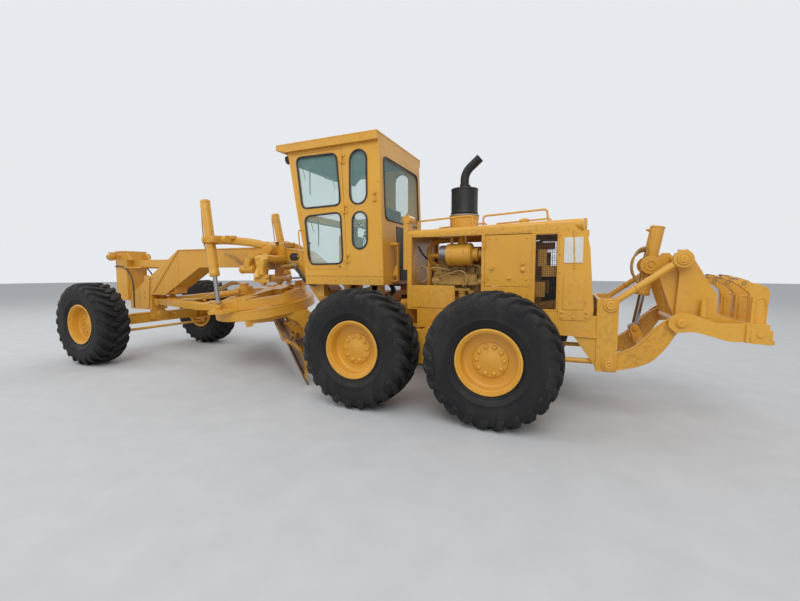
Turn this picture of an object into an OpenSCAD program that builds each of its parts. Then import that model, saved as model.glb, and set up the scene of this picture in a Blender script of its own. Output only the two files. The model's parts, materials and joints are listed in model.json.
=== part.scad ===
// Articulated motor grader with a blade under its front frame and a ripper at its tail.
// X runs forward, Y to the left and Z up, from the ground under the middle of the
// tandem axles. place() then moves everything so that the middle of the outer box
// comes to the origin. Lengths are in millimetres and angles in degrees.

/* [Wheels] */
// Diameter of the tyres over their lugs
tyre_d = 1490; // [1420:10:1500]
// Width of the tyres over the sidewalls
tyre_w = 520; // [460:5:530]
// Number of lugs round a tyre
lug_count = 18; // [16:1:18]
// Depth of the grooves between the lugs
lug_deep = 42; // [30:1:50]
// How far round the axle a lug sweeps from the middle of the tread to its shoulder
lug_sweep = 13; // [6:1:16]
// Diameter of the rim flanges
rim_flange_d = 716; // [690:2:760]
// Diameter of the bead seats, where the tyre grips the rim
rim_seat_d = 636; // [600:2:650]
// Width of the rims over the flanges
rim_w = 455; // [420:5:460]
// Thickness of the rim flanges
flange_t = 20; // [14:1:26]
// Wall of the rim's barrel
barrel_t = 14; // [10:1:20]
// Thickness of the wheel disc
disc_t = 25; // [18:1:32]
// Depth of the disc below the rim's outer face
dish = 170; // [120:5:200]
// Diameter of the hub that stands on the disc
hub_d = 380; // [330:5:400]
// Height of the hub above the disc
hub_h = 30; // [24:1:60]
// Diameter of the hub's sleeve behind the disc
sleeve_d = 330; // [290:5:340]
// Length of the hub's sleeve behind the disc
sleeve_h = 90; // [60:5:110]
// Diameter of the spindles in the hubs
spindle_d = 220; // [180:5:240]

/* [Axles] */
// Distance between the two tandem axles
tandem_spacing = 1650; // [1580:10:1700]
// Distance from the tandem middle to the front axle
wheelbase = 6455; // [6400:5:6500]
// Distance between the middles of the left and right tyres
track = 2480; // [2460:5:2520]
// Thickness of a tandem case
case_t = 150; // [120:5:160]
// Height of a tandem case at its ends
case_h = 420; // [380:10:440]
// Gap between a tandem case and the tyres
case_gap = 28; // [20:1:40]
// Diameter of the cross tube that joins the tandem cases
axle_tube_d = 320; // [280:5:340]
// Height of the front axle beam
front_beam_h = 190; // [160:5:210]
// Distance of the kingpins from the middle of the machine
kingpin_y = 860; // [850:5:880]
// Diameter of the kingpins
kingpin_d = 80; // [60:2:90]
// Length of the steering arms behind the kingpins
steer_arm = 300; // [260:5:320]

/* [Rear frame] */
// Underside of the rear frame rails above the ground
rail_z = 950; // [940:5:960]
// Height of the rear frame rails
rail_h = 240; // [220:5:260]
// Thickness of the rear frame rails
rail_t = 100; // [80:5:110]
// Width of the rear frame and of the engine enclosure
body_w = 1200; // [1160:10:1240]
// Place of the articulation pin ahead of the tandem middle
pivot_x = 590; // [580:5:600]
// Diameter of the articulation pin
pivot_d = 120; // [100:5:130]
// Thickness of the hinge plates above and below the tongue
hinge_plate_t = 45; // [35:1:50]
// Radius of the ears round the articulation pin
ear_r = 160; // [140:5:170]
// Place of the ripper's mounting plate behind the tandem middle
tail_x = -1886; // [-1900:2:-1880]
// Thickness of the towing plate at the tail
tow_t = 50; // [40:5:60]
// Diameter of the hole in the towing plate
tow_d = 50; // [40:2:60]

/* [Engine enclosure] */
// Place of the enclosure's front post
post_x = 383; // [370:1:390]
// Width of the enclosure's posts
post_w = 60; // [45:5:60]
// Thickness of the enclosure's panels
panel_t = 16; // [12:1:24]
// Height of the hood's lower edge
hood_z = 2165; // [2150:5:2180]
// Height of the hood's top at its front end
hood_front_z = 2244; // [2230:2:2260]
// Height of the hood's top at its rear end
hood_rear_z = 2303; // [2290:1:2310]
// Rear end of the hood
hood_rear_x = -1745; // [-1760:5:-1735]
// Front edge of the side door
door_front_x = -600; // [-620:5:-590]
// Rear edge of the side door
door_rear_x = -1160; // [-1170:5:-1150]
// Lower edge of the side door and of the open bay in front of it
door_z = 1512; // [1505:1:1530]
// Front edge of the radiator's side panel
guard_x = -1440; // [-1450:5:-1430]
// Diameter of the muffler
muffler_d = 370; // [340:5:380]
// Place of the muffler
muffler_x = -180; // [-200:5:-160]
// Diameter of the exhaust stack
stack_d = 120; // [100:5:130]

/* [Cab] */
// Width of the cab
cab_w = 1500; // [1460:10:1520]
// Thickness of the cab's walls and doors
cab_wall = 45; // [35:1:50]
// Underside of the cab's floor
cab_floor_z = 1510; // [1505:1:1520]
// Height of the cab's floor, which carries the walls
cab_sill_z = 1640; // [1630:2:1650]
// Height at which the roof sits on the walls
cab_eave_z = 3440; // [3430:5:3450]
// Thickness of the roof
roof_t = 120; // [90:5:140]
// How far the roof stands out past the side walls
roof_over = 50; // [30:5:60]
// Gap round the cab doors
door_gap = 4; // [3:0.5:6]
// Thickness of the window panes
glass_t = 6; // [5:1:8]
// How far the panes' corners are taken round
pane_round = 95; // [60:5:100]
// Depth of the panes below the outer face
glass_in = 16; // [12:1:20]

/* [Front frame] */
// Width of the front frame's box beam
beam_w = 340; // [320:5:350]
// Top of the beam
beam_top = 2120; // [2110:5:2130]
// Underside of the beam
beam_low = 1770; // [1760:5:1780]
// Distance of the nose's front face ahead of the front axle
nose_ahead = 985; // [965:5:1005]
// Depth of the nose from front to rear
nose_deep = 370; // [350:5:380]
// Distance of the beam's upper knee behind the front axle
knee_top = 935; // [900:5:960]
// Distance of the beam's lower knee behind the front axle
knee_low = 1525; // [1500:5:1560]
// Top of the nose
nose_top = 2126; // [2110:2:2140]
// Width of the nose
nose_w = 420; // [400:5:440]
// Distance across between the bolt holes in the nose's face
nose_bolt_y = 260; // [240:5:300]
// Distance up between the bolt holes in the nose's face
nose_bolt_h = 600; // [560:10:640]
// Diameter of the bolt holes in the nose's face
nose_bolt_d = 26; // [22:1:33]

/* [Drawbar and circle] */
// Distance of the ball that holds the drawbar's front end behind the front axle
ball_behind = 155; // [145:2:165]
// Height of that ball
ball_z = 1080; // [1070:2:1090]
// Diameter of that ball
ball_d = 110; // [100:2:116]
// How far the drawbar is raised at its rear
drawbar_pitch = 3.3; // [2.5:0.1:3.6]
// How far the drawbar leans down to the left
drawbar_roll = 9; // [8:0.5:9.5]
// Height of the drawbar's bars
drawbar_h = 150; // [130:5:160]
// Distance from the drawbar's ball to the middle of the circle
circle_back = 2800; // [2780:5:2820]
// Outer diameter of the circle
circle_d = 1720; // [1680:10:1740]
// Width of the circle's ring
ring_w = 150; // [130:5:170]
// Height of the circle's ring
ring_h = 160; // [140:5:170]
// Distance from the drawbar's middle line to the lift balls
lift_y = 900; // [890:2:910]
// Distance from the drawbar's front ball back to the lift balls
lift_back = 2650; // [2640:2:2660]
// Angle of the blade from straight across, left end back
blade_angle = 45.5; // [44:0.5:47]

/* [Blade] */
// Length of the blade
blade_len = 4270; // [4100:10:4300]
// Radius of the moldboard's curve
moldboard_r = 470; // [460:5:480]
// Angle that the moldboard's curve takes
moldboard_arc = 90; // [86:1:92]
// Thickness of the moldboard
moldboard_t = 25; // [20:1:30]
// How far the top of the moldboard leans forward
blade_lean = 18; // [14:1:20]
// Height of the cutting edge
edge_h = 180; // [170:5:190]
// Thickness of the cutting edge
edge_t = 22; // [18:1:25]
// Distance of the edge behind the circle's middle
edge_back = 300; // [280:5:320]
// How far the blade is shifted to the right
blade_shift = 350; // [300:5:360]
// Gap between the blade's low end and the ground
ground_gap = 6; // [4:1:20]

/* [Cylinders] */
// Outer diameter of the lift cylinders' barrels
lift_barrel_d = 150; // [130:2:156]
// Diameter of the lift cylinders' rods
lift_rod_d = 70; // [60:2:76]
// Length of the lift cylinders' barrels above their collars
lift_up = 650; // [600:10:670]
// Length of the lift cylinders' barrels below their collars
lift_down = 600; // [560:10:610]
// Outer diameter of the articulation cylinders
steer_barrel_d = 110; // [90:2:116]
// Diameter of the articulation cylinders' rods
steer_rod_d = 50; // [44:2:56]
// Outer diameter of the other barrels
shift_barrel_d = 120; // [100:2:124]
// Diameter of the other rods
shift_rod_d = 60; // [50:2:64]

/* [Ripper] */
// Height of the ripper's lower pins
ripper_low_z = 650; // [640:2:660]
// Height of the ripper's upper pins
ripper_high_z = 1320; // [1310:2:1330]
// Place of the ripper's front pins
ripper_pin_x = -2010; // [-2014:1:-2006]
// Reach of the ripper's arms, behind their pins
ripper_reach = 661; // [640:1:680]
// Rise of the ripper's arms above their pins
ripper_rise = 508; // [490:1:520]
// Thickness of the ripper's arms
ripper_arm_t = 70; // [60:2:76]
// Diameter of the ripper's pins
ripper_pin_d = 70; // [60:2:76]
// Length of the ripper's cross beam
ripper_beam_w = 1240; // [1200:10:1260]
// Thickness of a ripper shank
shank_t = 60; // [50:2:66]

/* [Hidden] */

$fn = 48;
left = 1;
right = -1;
paint = "#e3b04b";
black = "#26262a";
steel = "#c9ccd0";
// Clearance of a pin or spindle in its bore, as a radius
run = 0.08;
// Room between pieces that move past each other
air = 6;
// Small overlap that makes cuts break through
eps = 1;

// The outer box runs from the ripper's tail to the nose and from the blade's right end
// to the left tyres, and this is its middle
nose_x = wheelbase + nose_ahead;
nose_rear_x = nose_x - nose_deep;
ball_x = wheelbase - ball_behind;
tail_end = -3420;
mid_x = (nose_x + tail_end) / 2;
mid_y = -290;

axle_z = tyre_d / 2;
tyre_in = track / 2 - tyre_w / 2;
rail_top = rail_z + rail_h;
side_y = body_w / 2;
case_out = tyre_in - case_gap;
hub_in = rim_w / 2 - dish + hub_h - 20;
nose_mid_z = 1600;
tow_x = -1990;
tow_z = 640;

// Wheels: name, place along X, side of the machine
W_NAME = 0;
W_X = 1;
W_SIDE = 2;
WHEELS = [
    ["front_left", wheelbase, left],
    ["front_right", wheelbase, right],
    ["middle_left", tandem_spacing / 2, left],
    ["middle_right", tandem_spacing / 2, right],
    ["rear_left", -tandem_spacing / 2, left],
    ["rear_right", -tandem_spacing / 2, right]
];
SIDES = [["left", left], ["right", right]];

// A point of the drawbar's own frame, which starts at its ball, in the machine's frame
function leant(p) =
    let (y = p[1] * cos(drawbar_roll) + p[2] * sin(drawbar_roll))
    let (z = -p[1] * sin(drawbar_roll) + p[2] * cos(drawbar_roll))
    [ball_x + p[0] * cos(drawbar_pitch) + z * sin(drawbar_pitch), y,
     ball_z - p[0] * sin(drawbar_pitch) + z * cos(drawbar_pitch)];

// A point of the circle's frame, which turns with the blade, in the drawbar's frame
function turned(p) = [
    p[0] * cos(blade_angle) - p[1] * sin(blade_angle) - circle_back,
    p[0] * sin(blade_angle) + p[1] * cos(blade_angle), p[2]];

// Depth of the cutting edge below the drawbar that leaves the gap under its low end
low_end = turned([-edge_back, blade_len / 2 - blade_shift, 0]);
edge_z = ((ground_gap - ball_z + low_end[0] * sin(drawbar_pitch)) / cos(drawbar_pitch)
    + low_end[1] * sin(drawbar_roll)) / cos(drawbar_roll);

// Moves the whole machine so that the middle of its box is at the origin
module place() {
    translate([-mid_x, -mid_y, 0]) children();
}

// Puts a piece that is drawn for the left side on either side
module on_side(side) {
    if (side == left) children();
    else mirror([0, 1, 0]) children();
}

// Draws a piece on both sides
module both_sides() {
    children();
    mirror([0, 1, 0]) children();
}

// A plate whose outline is given in the side view, from y to y + t
module side_plate(points, y, t) {
    translate([0, y + t, 0]) rotate([90, 0, 0]) linear_extrude(t) polygon(points);
}

// An outline with each of its corners cut back and taken round
function soft(p, cut) = [for (i = [0:len(p) - 1])
    let (a = p[(i + len(p) - 1) % len(p)] - p[i], b = p[(i + 1) % len(p)] - p[i])
    for (t = [0:0.2:1])
        p[i] + cut * ((1 - t) * (1 - t) * a / norm(a) + t * t * b / norm(b))];

// A plate whose outline is given from behind, from x to x + t
module cross_plate(points, x, t) {
    translate([x, 0, 0]) rotate([90, 0, 90]) linear_extrude(t) polygon(points);
}

// A box between two corners
module block(low, high) {
    translate(low) cube(high - low);
}

// A round bar between two points
module bar(a, b, d) {
    v = b - a;
    translate(a) rotate([0, acos(v[2] / norm(v)), atan2(v[1], v[0])]) cylinder(h = norm(v), d = d);
}

// A round bar across the machine
module cross_bar(x, z, d, y0, y1) {
    translate([x, y0, z]) rotate([-90, 0, 0]) cylinder(h = y1 - y0, d = d);
}

// Puts a piece of the drawbar's frame in the machine's frame
module lean() {
    translate([ball_x, 0, ball_z]) rotate([-drawbar_roll, drawbar_pitch, 0]) children();
}

// Puts a piece of the circle's frame in the machine's frame
module turn() {
    lean() translate([-circle_back, 0, 0]) rotate([0, 0, blade_angle]) children();
}

// Lays a piece that is drawn along Z so that it runs from a to b
module aim(a, b) {
    v = b - a;
    translate(a) rotate([0, acos(v[2] / norm(v)), atan2(v[1], v[0])]) children();
}

// A wheel's place, with its outer side along +Y
module at_wheel(w) {
    on_side(w[W_SIDE]) translate([w[W_X], track / 2, axle_z]) rotate([-90, 0, 0]) children();
}

// Tyre as one closed skin: rings of points from the outer bead over the tread to the inner
// bead. Three columns make one lug, its two edges and the groove behind it, and only the
// lug's edges go on down the sidewalls.
module tyre(w) {
    pitch = 360 / lug_count;
    columns = [0, 0.4 * pitch, 0.7 * pitch];
    bead = rim_w / 2 - flange_t - 0.5;
    seat = (rim_seat_d / 2 + 0.1) / cos(0.3 * pitch);
    // Half the section: radius on a lug, radius in a groove, distance out, turn round the axle
    half = [
        [seat, seat, bead, lug_sweep],
        [rim_flange_d / 2 + 14, rim_flange_d / 2 + 14, bead, lug_sweep],
        [tyre_d / 2 - 200, tyre_d / 2 - 200, tyre_w / 2, lug_sweep],
        [tyre_d / 2 - 48, tyre_d / 2 - 95, tyre_w / 2 - 12, lug_sweep],
        [tyre_d / 2, tyre_d / 2 - lug_deep, tyre_w / 2 - 68, 0.7 * lug_sweep],
        [tyre_d / 2 - 22, tyre_d / 2 - 22, 0, 0]
    ];
    rings = concat([for (h = half) [h[0], h[1], -h[2], h[3]]], [for (i = [4:-1:0]) half[i]]);
    count = [for (i = [0:10]) lug_count * (i > 2 && i < 8 ? 3 : 2)];
    start = [for (i = 0, sum = 0; i < 11; sum = sum + count[i], i = i + 1) sum];
    points = [for (i = [0:10]) for (k = [0:count[i] - 1])
        let (per = count[i] / lug_count, c = k % per)
        let (a = floor(k / per) * pitch + columns[c] + rings[i][3])
        let (r = c == 2 ? rings[i][1] : rings[i][0])
        [r * cos(a), r * sin(a), rings[i][2]]];
    // Corner of lug l, column c and ring i, where column 2 of a plain ring is the next lug's edge
    function at(i, l, c) = start[i] + (count[i] == 3 * lug_count
        ? (3 * l + c) % count[i] : (2 * l + (c == 3 ? 2 : c)) % count[i]);
    faces = [for (i = [0:10]) let (j = (i + 1) % 11, here = count[i], there = count[j])
        for (l = [0:lug_count - 1]) for (f =
            here == there ? [for (c = [0:here / lug_count - 1])
                let (a = at(i, l, c), b = at(i, l, c == here / lug_count - 1 ? 3 : c + 1))
                let (d = at(j, l, c == here / lug_count - 1 ? 3 : c + 1), e = at(j, l, c))
                each [[a, b, d], [a, d, e]]]
            : here < there ? [[at(i, l, 0), at(i, l, 1), at(j, l, 1)],
                [at(i, l, 0), at(j, l, 1), at(j, l, 0)], [at(i, l, 1), at(j, l, 2), at(j, l, 1)],
                [at(i, l, 1), at(i, l, 3), at(j, l, 2)], [at(i, l, 3), at(j, l, 3), at(j, l, 2)]]
            : [[at(i, l, 0), at(i, l, 1), at(j, l, 1)], [at(i, l, 0), at(j, l, 1), at(j, l, 0)],
                [at(i, l, 1), at(i, l, 2), at(j, l, 1)], [at(i, l, 2), at(j, l, 3), at(j, l, 1)],
                [at(i, l, 2), at(i, l, 3), at(j, l, 3)]]) [f[2], f[1], f[0]]];
    color(black) at_wheel(w) polyhedron(points, faces);
}

// Rim with its disc, and a hub that is closed on the outside
module rim(w) {
    out = rim_w / 2;
    face = out - dish;
    inner = rim_seat_d / 2 - barrel_t;
    bore = spindle_d / 2 + run;
    color(paint) at_wheel(w) rotate_extrude() polygon([
        [rim_flange_d / 2, out], [rim_flange_d / 2, out - flange_t],
        [rim_seat_d / 2, out - flange_t], [rim_seat_d / 2, flange_t - out],
        [rim_flange_d / 2, flange_t - out], [rim_flange_d / 2, -out],
        [inner, -out], [inner, face - disc_t], [sleeve_d / 2, face - disc_t],
        [sleeve_d / 2, face - disc_t - sleeve_h], [bore, face - disc_t - sleeve_h],
        [bore, hub_in + run],
        [0, hub_in + run], [0, face + hub_h], [hub_d / 2, face + hub_h], [hub_d / 2, face],
        [inner, face], [inner, out]]);
}

// Rear frame: two rails with cross members, the hinge plates in front and the plates
// that hold the ripper behind
module rear_frame() {
    front = 300;
    fork_low = rail_z - hinge_plate_t;
    fork = [[front - 60, -side_y + rail_t], [front - 60, side_y - rail_t],
        [pivot_x, ear_r], [pivot_x, -ear_r]];
    color(paint) {
        both_sides() {
            block([tail_x, side_y - rail_t, rail_z], [front, side_y, rail_top]);
            side_plate([[-1642, rail_z], [-1903, 567], [-2090, 567], [-2090, 1390],
                [tail_x, 1390], [tail_x, rail_z + 20], [-1642, rail_z + 20]], side_y - 40, 40);
            side_plate([[-1903, 567], [-2090, 567], [-2090, 1390], [-1870, 1390], [-1870, 600]],
                side_y - 190, 30);
            for (z = [ripper_low_z, ripper_high_z])
                cross_bar(ripper_pin_x, z, ripper_pin_d, side_y - 175, side_y - 20);
        }
        block([front - 100, rail_t - side_y, fork_low], [front, side_y - rail_t, rail_top]);
        both_sides() {
            block([bend_rear[0] - 60, bend_rear[1] - 70, rail_top - 10],
                [bend_rear[0] + 60, side_y - rail_t + eps, rail_top]);
            block([bend_rear[0] - 60, bend_rear[1] - 70, rail_z + 150],
                [bend_rear[0] + 60, side_y - rail_t + eps, rail_top - 10 + eps]);
            translate([bend_rear[0], bend_rear[1], rail_top - eps]) cylinder(h = 122, d = 50);
        }
        for (x = [120, -480, -1300])
            block([x, rail_t - side_y, rail_z + 40], [x + 90, side_y - rail_t, rail_z + 150]);
        block([tail_x - 17, 20 - side_y, 600], [tail_x + 16, side_y - 20, 1390]);
        difference() {
            block([tow_x - 70, -90, tow_z], [tail_x - 16, 90, tow_z + tow_t]);
            translate([tow_x, 0, tow_z - eps]) cylinder(h = tow_t + 2 * eps, d = tow_d);
        }
        for (z = [fork_low, rail_top - hinge_plate_t])
            translate([0, 0, z]) linear_extrude(hinge_plate_t) {
                polygon(fork);
                translate([pivot_x, 0]) circle(ear_r);
            }
        translate([pivot_x, 0, fork_low - 20])
            cylinder(h = rail_top - fork_low + 45, d = pivot_d);
    }
}

// Rear axle: the cross tube, the tandem cases and the four wheel spindles
module rear_axle() {
    in = case_out - case_t;
    color(paint) {
        cross_bar(0, axle_z + 15, axle_tube_d, -in - 10, in + 10);
        cross_bar(0, axle_z + 15, axle_tube_d + 130, -190, 190);
        both_sides() {
            block([-170, side_y - rail_t - 10, axle_z], [170, side_y, rail_z]);
            cross_bar(0, axle_z + 15, case_h + 60, in, case_out);
            for (x = [-1, 1] * tandem_spacing / 2) {
                cross_bar(x, axle_z, case_h, in, case_out);
                cross_bar(x, axle_z, spindle_d, case_out - 10, track / 2 + hub_in);
            }
            block([-tandem_spacing / 2, in, axle_z - case_h / 2],
                [tandem_spacing / 2, case_out, axle_z + case_h / 2]);
        }
    }
}

// Engine: block, cylinder head, rocker covers, injection pump, filters and fan hub, with
// the air cleaner over its left side, standing on two cross members
module engine() {
    color(paint) {
        block([-560, -250, rail_z + 150], [195, 250, 1300]);
        block([-545, -225, 1299], [185, 225, 1690]);
        block([-530, -205, 1689], [170, 205, 1800]);
        for (i = [0:2]) block([-520 + i * 232, -130, 1799], [-298 + i * 232, 130, 1900]);
        block([-460, 224, 1515], [80, 345, 1595]);
        block([-440, 240, 1594], [60, 325, 1655]);
        translate([79, 290, 1555]) rotate([0, 90, 0]) cylinder(h = 100, d = 130);
        for (x = [-300, -150]) translate([x, 300, 1200]) cylinder(h = 245, d = 110);
        block([-360, 224, 1430], [-90, 350, 1470]);
        block([-520, -290, 1710], [140, -204, 1780]);
        translate([184, 0, 1560]) rotate([0, 90, 0]) cylinder(h = 100, d = 290);
        both_sides() {
            translate([-410, 380, 1920]) rotate([0, 90, 0]) cylinder(h = 390, d = 300);
            translate([-530, 380, 1920]) rotate([0, 90, 0]) cylinder(h = 130, d = 184);
        }
        block([-300, -380, 1880], [-180, 380, 1960]);
    }
}

// Radiator core behind its side meshes and its rear grille
module grilles() {
    color(black) {
        block([-1700, -500, rail_z + 150 + 60], [-1560, 500, hood_z - 10]);
        both_sides() {
            for (i = [0:5]) block([guard_x + 13 + i * 40, side_y - 12, 1250],
                [guard_x + 25 + i * 40, side_y - 4, 2130]);
            for (i = [0:14]) block([guard_x, side_y - 12, 1284 + i * 57],
                [door_rear_x - 40, side_y - 4, 1296 + i * 57]);
        }
    }
}

// Hood: a folded sheet with rounded long edges, the silencer's collar, the filler caps, the
// rear work lamps and the handrails
hood_round = 45;
lamp_d = 140;
module hood() {
    sheet = 30;
    front = post_x + post_w;
    slope = (hood_rear_z - hood_front_z) / (front - hood_rear_x);
    grab_z = hood_front_z + 150;
    color(paint) {
        difference() {
            intersection() {
                block([hood_rear_x, -side_y, hood_z], [front, side_y, 2400]);
                translate([front, 0, hood_front_z]) rotate([0, atan(slope), 0])
                    cross_plate(soft([[-side_y, -300], [side_y, -300], [side_y, 0], [-side_y, 0]],
                        hood_round), -2400, 2600);
            }
            side_plate([[front - sheet, hood_z - eps], [front - sheet, hood_front_z - sheet],
                [hood_rear_x + sheet, hood_rear_z - sheet], [hood_rear_x + sheet, hood_z - eps]],
                sheet - side_y, body_w - 2 * sheet);
        }
        translate([muffler_x, 0, hood_front_z + 5]) cylinder(h = 2480 - hood_front_z - 5, d = 400);
        translate([-1045, 420, hood_front_z + 25]) cylinder(h = 75, d = 124);
        translate([-1520, 0, hood_front_z + 40]) cylinder(h = 45, d = 140);
        both_sides() {
            translate([-1610, side_y - 45, hood_z + 80]) rotate([0, -90, 0]) cylinder(h = 175, d = lamp_d);
            for (span = [[-1330, -540], [-420, 340]]) {
                bar([span[0], 450, grab_z], [span[1], 450, grab_z], 26);
                for (x = span)
                    bar([x, 450, hood_front_z + slope * (front - x) - 10], [x, 450, grab_z + 13], 26);
            }
        }
    }
}

// Fixed panels of the enclosure: posts, lower panels, front wall and radiator guard
module side_panels() {
    inner = side_y - post_w;
    rear = hood_rear_x;
    color(paint) {
        both_sides() {
            block([post_x, inner, rail_top], [post_x + post_w, side_y, hood_z]);
            side_plate([[post_x + eps, rail_top], [post_x + eps, door_z], [-220, door_z],
                [-220, rail_top + 70], [-180, rail_top]], side_y - panel_t, panel_t);
            block([door_rear_x, side_y - panel_t, rail_top],
                [door_front_x, side_y, door_z - 5]);
            for (x = [door_front_x, door_rear_x - 40])
                block([x, side_y - 40, rail_top], [x + 40, side_y, hood_z]);
            for (z = side_hinge_z) translate([door_front_x, side_y + side_hinge_out, z])
                frame_knuckle(-1, side_hinge_out, side_hinge_d, 104);
            block([guard_x, side_y - 40, hood_z - 35], [door_rear_x - 40, side_y, hood_z]);
            block([guard_x, side_y - 40, rail_top], [door_rear_x - 40, side_y, 1250]);
            side_plate([[guard_x, rail_top], [guard_x, hood_z], [rear, hood_z],
                [rear - 40, 1953], [rear - 95, 1246], [rear - 85, rail_top]], side_y - 40, 40);
        }
        block([post_x + post_w - panel_t, -inner, 1340], [post_x + post_w, inner, hood_z]);
        block([post_x + post_w - eps, 410, 1720], [510, 580, hood_z]);
        block([post_x + post_w + 0.5, 410, hood_z - eps], [510, 580, 2395]);
        cross_bar(465, 2400, 110, 395, 590);
        both_sides() {
            side_plate([for (p = [[-90, 0], [90, 0], [90, 355], [-90, 355]]) p + [-1623, 1250]],
                side_y - eps, 11);
            side_plate([[-1706, 1800], [-1519, 1800], [-1519, 2080], [-1706, 2080]], side_y - eps, 7);
        }
        for (z = [rail_top, 1520, 1850])
            block([rear - 30, 40 - side_y, z], [rear, side_y - 40, z + 60]);
        block([rear - 25, 40 - side_y, hood_z - 60], [rear, side_y - 40, hood_z]);
    }
}

// Muffler on its collar, and the stack that bends to the rear
module exhaust() {
    path = [[muffler_x, 0, 2854], [muffler_x, 0, 3010], [muffler_x - 70, 0, 3150],
        [muffler_x - 205, 0, 3245]];
    color(black) {
        translate([muffler_x, 0, 2480]) cylinder(h = 20, d = muffler_d - 60);
        translate([muffler_x, 0, 2499]) cylinder(h = 356, d = muffler_d);
        for (i = [0:len(path) - 2]) bar(path[i], path[i + 1], stack_d);
        for (i = [1:len(path) - 2]) translate(path[i]) sphere(d = stack_d + 14);
    }
}

// Side door of the engine enclosure, hung on its front edge
side_hinge_z = [1620, 2030];
side_hinge_d = 12;
side_hinge_out = 12;
module side_door(side) {
    color(paint) on_side(side) {
        for (z = side_hinge_z) translate([door_front_x, side_y + side_hinge_out, z])
            door_knuckle(-1, side_hinge_out, side_hinge_d, 104);
        block([door_rear_x + 4, side_y - panel_t, door_z], [door_front_x - 4, side_y, hood_z - 25]);
        for (k = [[-690, 1740], [-1060, 1800]])
            cross_bar(k[0], k[1], 46, side_y - eps, side_y + 30);
    }
}

// A hinge along Z at the origin, seen from outside: the knuckle and leaf on the door, or
// the pin, its two bosses and their leaves on the frame. The door lies towards toward
// times X, and the face under the hinge lies deep below its axis.
module door_knuckle(toward, deep, d, h) {
    low = toward > 0 ? 0.34 * d : -3.2 * d;
    high = toward > 0 ? 3.2 * d : -0.34 * d;
    difference() {
        union() {
            translate([0, 0, -h / 4]) cylinder(h = h / 2, d = 1.75 * d);
            block([low, -deep - eps, -h / 4], [high, -d / 2, h / 4]);
        }
        translate([0, 0, -h]) cylinder(h = 2 * h, d = d + 2 * run);
    }
}
module frame_knuckle(toward, deep, d, h) {
    low = toward > 0 ? -3.2 * d : 0.34 * d;
    high = toward > 0 ? -0.34 * d : 3.2 * d;
    translate([0, 0, -h / 2]) cylinder(h = h, d = d);
    for (z = [-h / 2, h / 4 + 1]) {
        translate([0, 0, z]) cylinder(h = h / 4 - 1, d = 1.75 * d);
        block([low, -deep - eps, z], [high, -d / 2, z + h / 4 - 1]);
    }
}

// Outline of the cab in the side view, drawn in by a given depth
front_edge = [[2022, cab_sill_z], [2053, 2070], [2136, 2477], [2299, cab_eave_z]];
rear_edge = [[797, cab_eave_z], [731, cab_sill_z]];
function cab_outline(inset) = concat(
    [for (p = front_edge) [p[0] - inset, p[1]]],
    [for (p = rear_edge) [p[0] + inset, p[1]]]);
seam = [[1298, 1729], [1376, 3400]];
door_outline = [seam[0], seam[1], [2232, 3400], [2076, 2477], [1993, 2070], [1966, 1729]];
door_windows = [
    [[2150, 3355], [1461, 3342], [1397, 2628], [2055, 2615]],
    [[2015, 2500], [1399, 2525], [1368, 1810], [1935, 1799]]
];

// Openings in the cab's side behind the door: two panes with round ends
module side_panes(y, t) {
    for (w = [[1027, 1317, 2607, 3360], [1025, 1281, 1995, 2528]]) {
        r = (w[1] - w[0]) / 2 - 14;
        for (z = [w[2] + r, w[3] - r]) cross_bar((w[0] + w[1]) / 2 - 60, z, 2 * r, y, y + t);
        block([(w[0] + w[1]) / 2 - 60 - r, y, w[2] + r], [(w[0] + w[1]) / 2 - 60 + r, y + t, w[3] - r]);
    }
}

// Every opening for a fixed pane
module fixed_windows() {
    both_sides() side_panes(cab_w / 2 - 80, 120);
    // Panes across the cab: place along X, depth, half width, lower and upper edge
    for (w = [[600, 400, 630, 2410, 3260], [2060, 440, 650, 2560, 3350], [1900, 350, 650, 1780, 2460]])
        cross_plate(soft([[-w[2], w[3]], [w[2], w[3]], [w[2], w[4]], [-w[2], w[4]]], pane_round),
            w[0], w[1]);
}

// Floor of the cab with its skirt, and the console that carries the steering wheel
module cab_floor() {
    color(paint) {
        block([731, -cab_w / 2, cab_floor_z], [2015, cab_w / 2, cab_sill_z]);
        block([1560, -170, cab_sill_z - eps], [1800, 170, 2250]);
        bar([1650, 0, 2200], [1560, 0, 2420], 50);
        aim([1560, 0, 2420], [1545, 0, 2457]) cylinder(h = 30, d = 420);
    }
}

// Walls of the cab, open below and above, with the windows and door openings cut
module cab_walls() {
    color(paint) difference() {
        side_plate(cab_outline(0), -cab_w / 2, cab_w);
        translate([0, 0, -eps]) side_plate(concat(
            [[2022 - cab_wall, cab_sill_z - eps]], cab_outline(cab_wall),
            [[731 + cab_wall, cab_sill_z - eps]]), cab_wall - cab_w / 2, cab_w - 2 * cab_wall);
        block([842, cab_wall - cab_w / 2, cab_eave_z - 5], [2254, cab_w / 2 - cab_wall, cab_eave_z + eps]);
        both_sides() side_plate(door_outline, cab_w / 2 - cab_wall - eps, cab_wall + 2 * eps);
        fixed_windows();
    }
    color(paint) both_sides() at_cab_hinges() frame_knuckle(1, cab_hinge_out, cab_hinge_d, 124);
}

// Roof slab that stands out past the walls
module cab_roof() {
    color(paint) side_plate([[800, cab_eave_z], [2300, cab_eave_z], [2480, cab_eave_z + 40],
        [2480, cab_eave_z + roof_t], [800, cab_eave_z + roof_t]],
        -cab_w / 2 - roof_over, cab_w + 2 * roof_over);
}

// Fixed panes of the cab
module cab_glass() {
    deep = glass_in + glass_t;
    color("#9fc3bd", 0.5) intersection() {
        difference() {
            side_plate(cab_outline(glass_in), glass_in - cab_w / 2, cab_w - 2 * glass_in);
            side_plate(cab_outline(deep), deep - cab_w / 2, cab_w - 2 * deep);
        }
        fixed_windows();
    }
}

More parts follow.
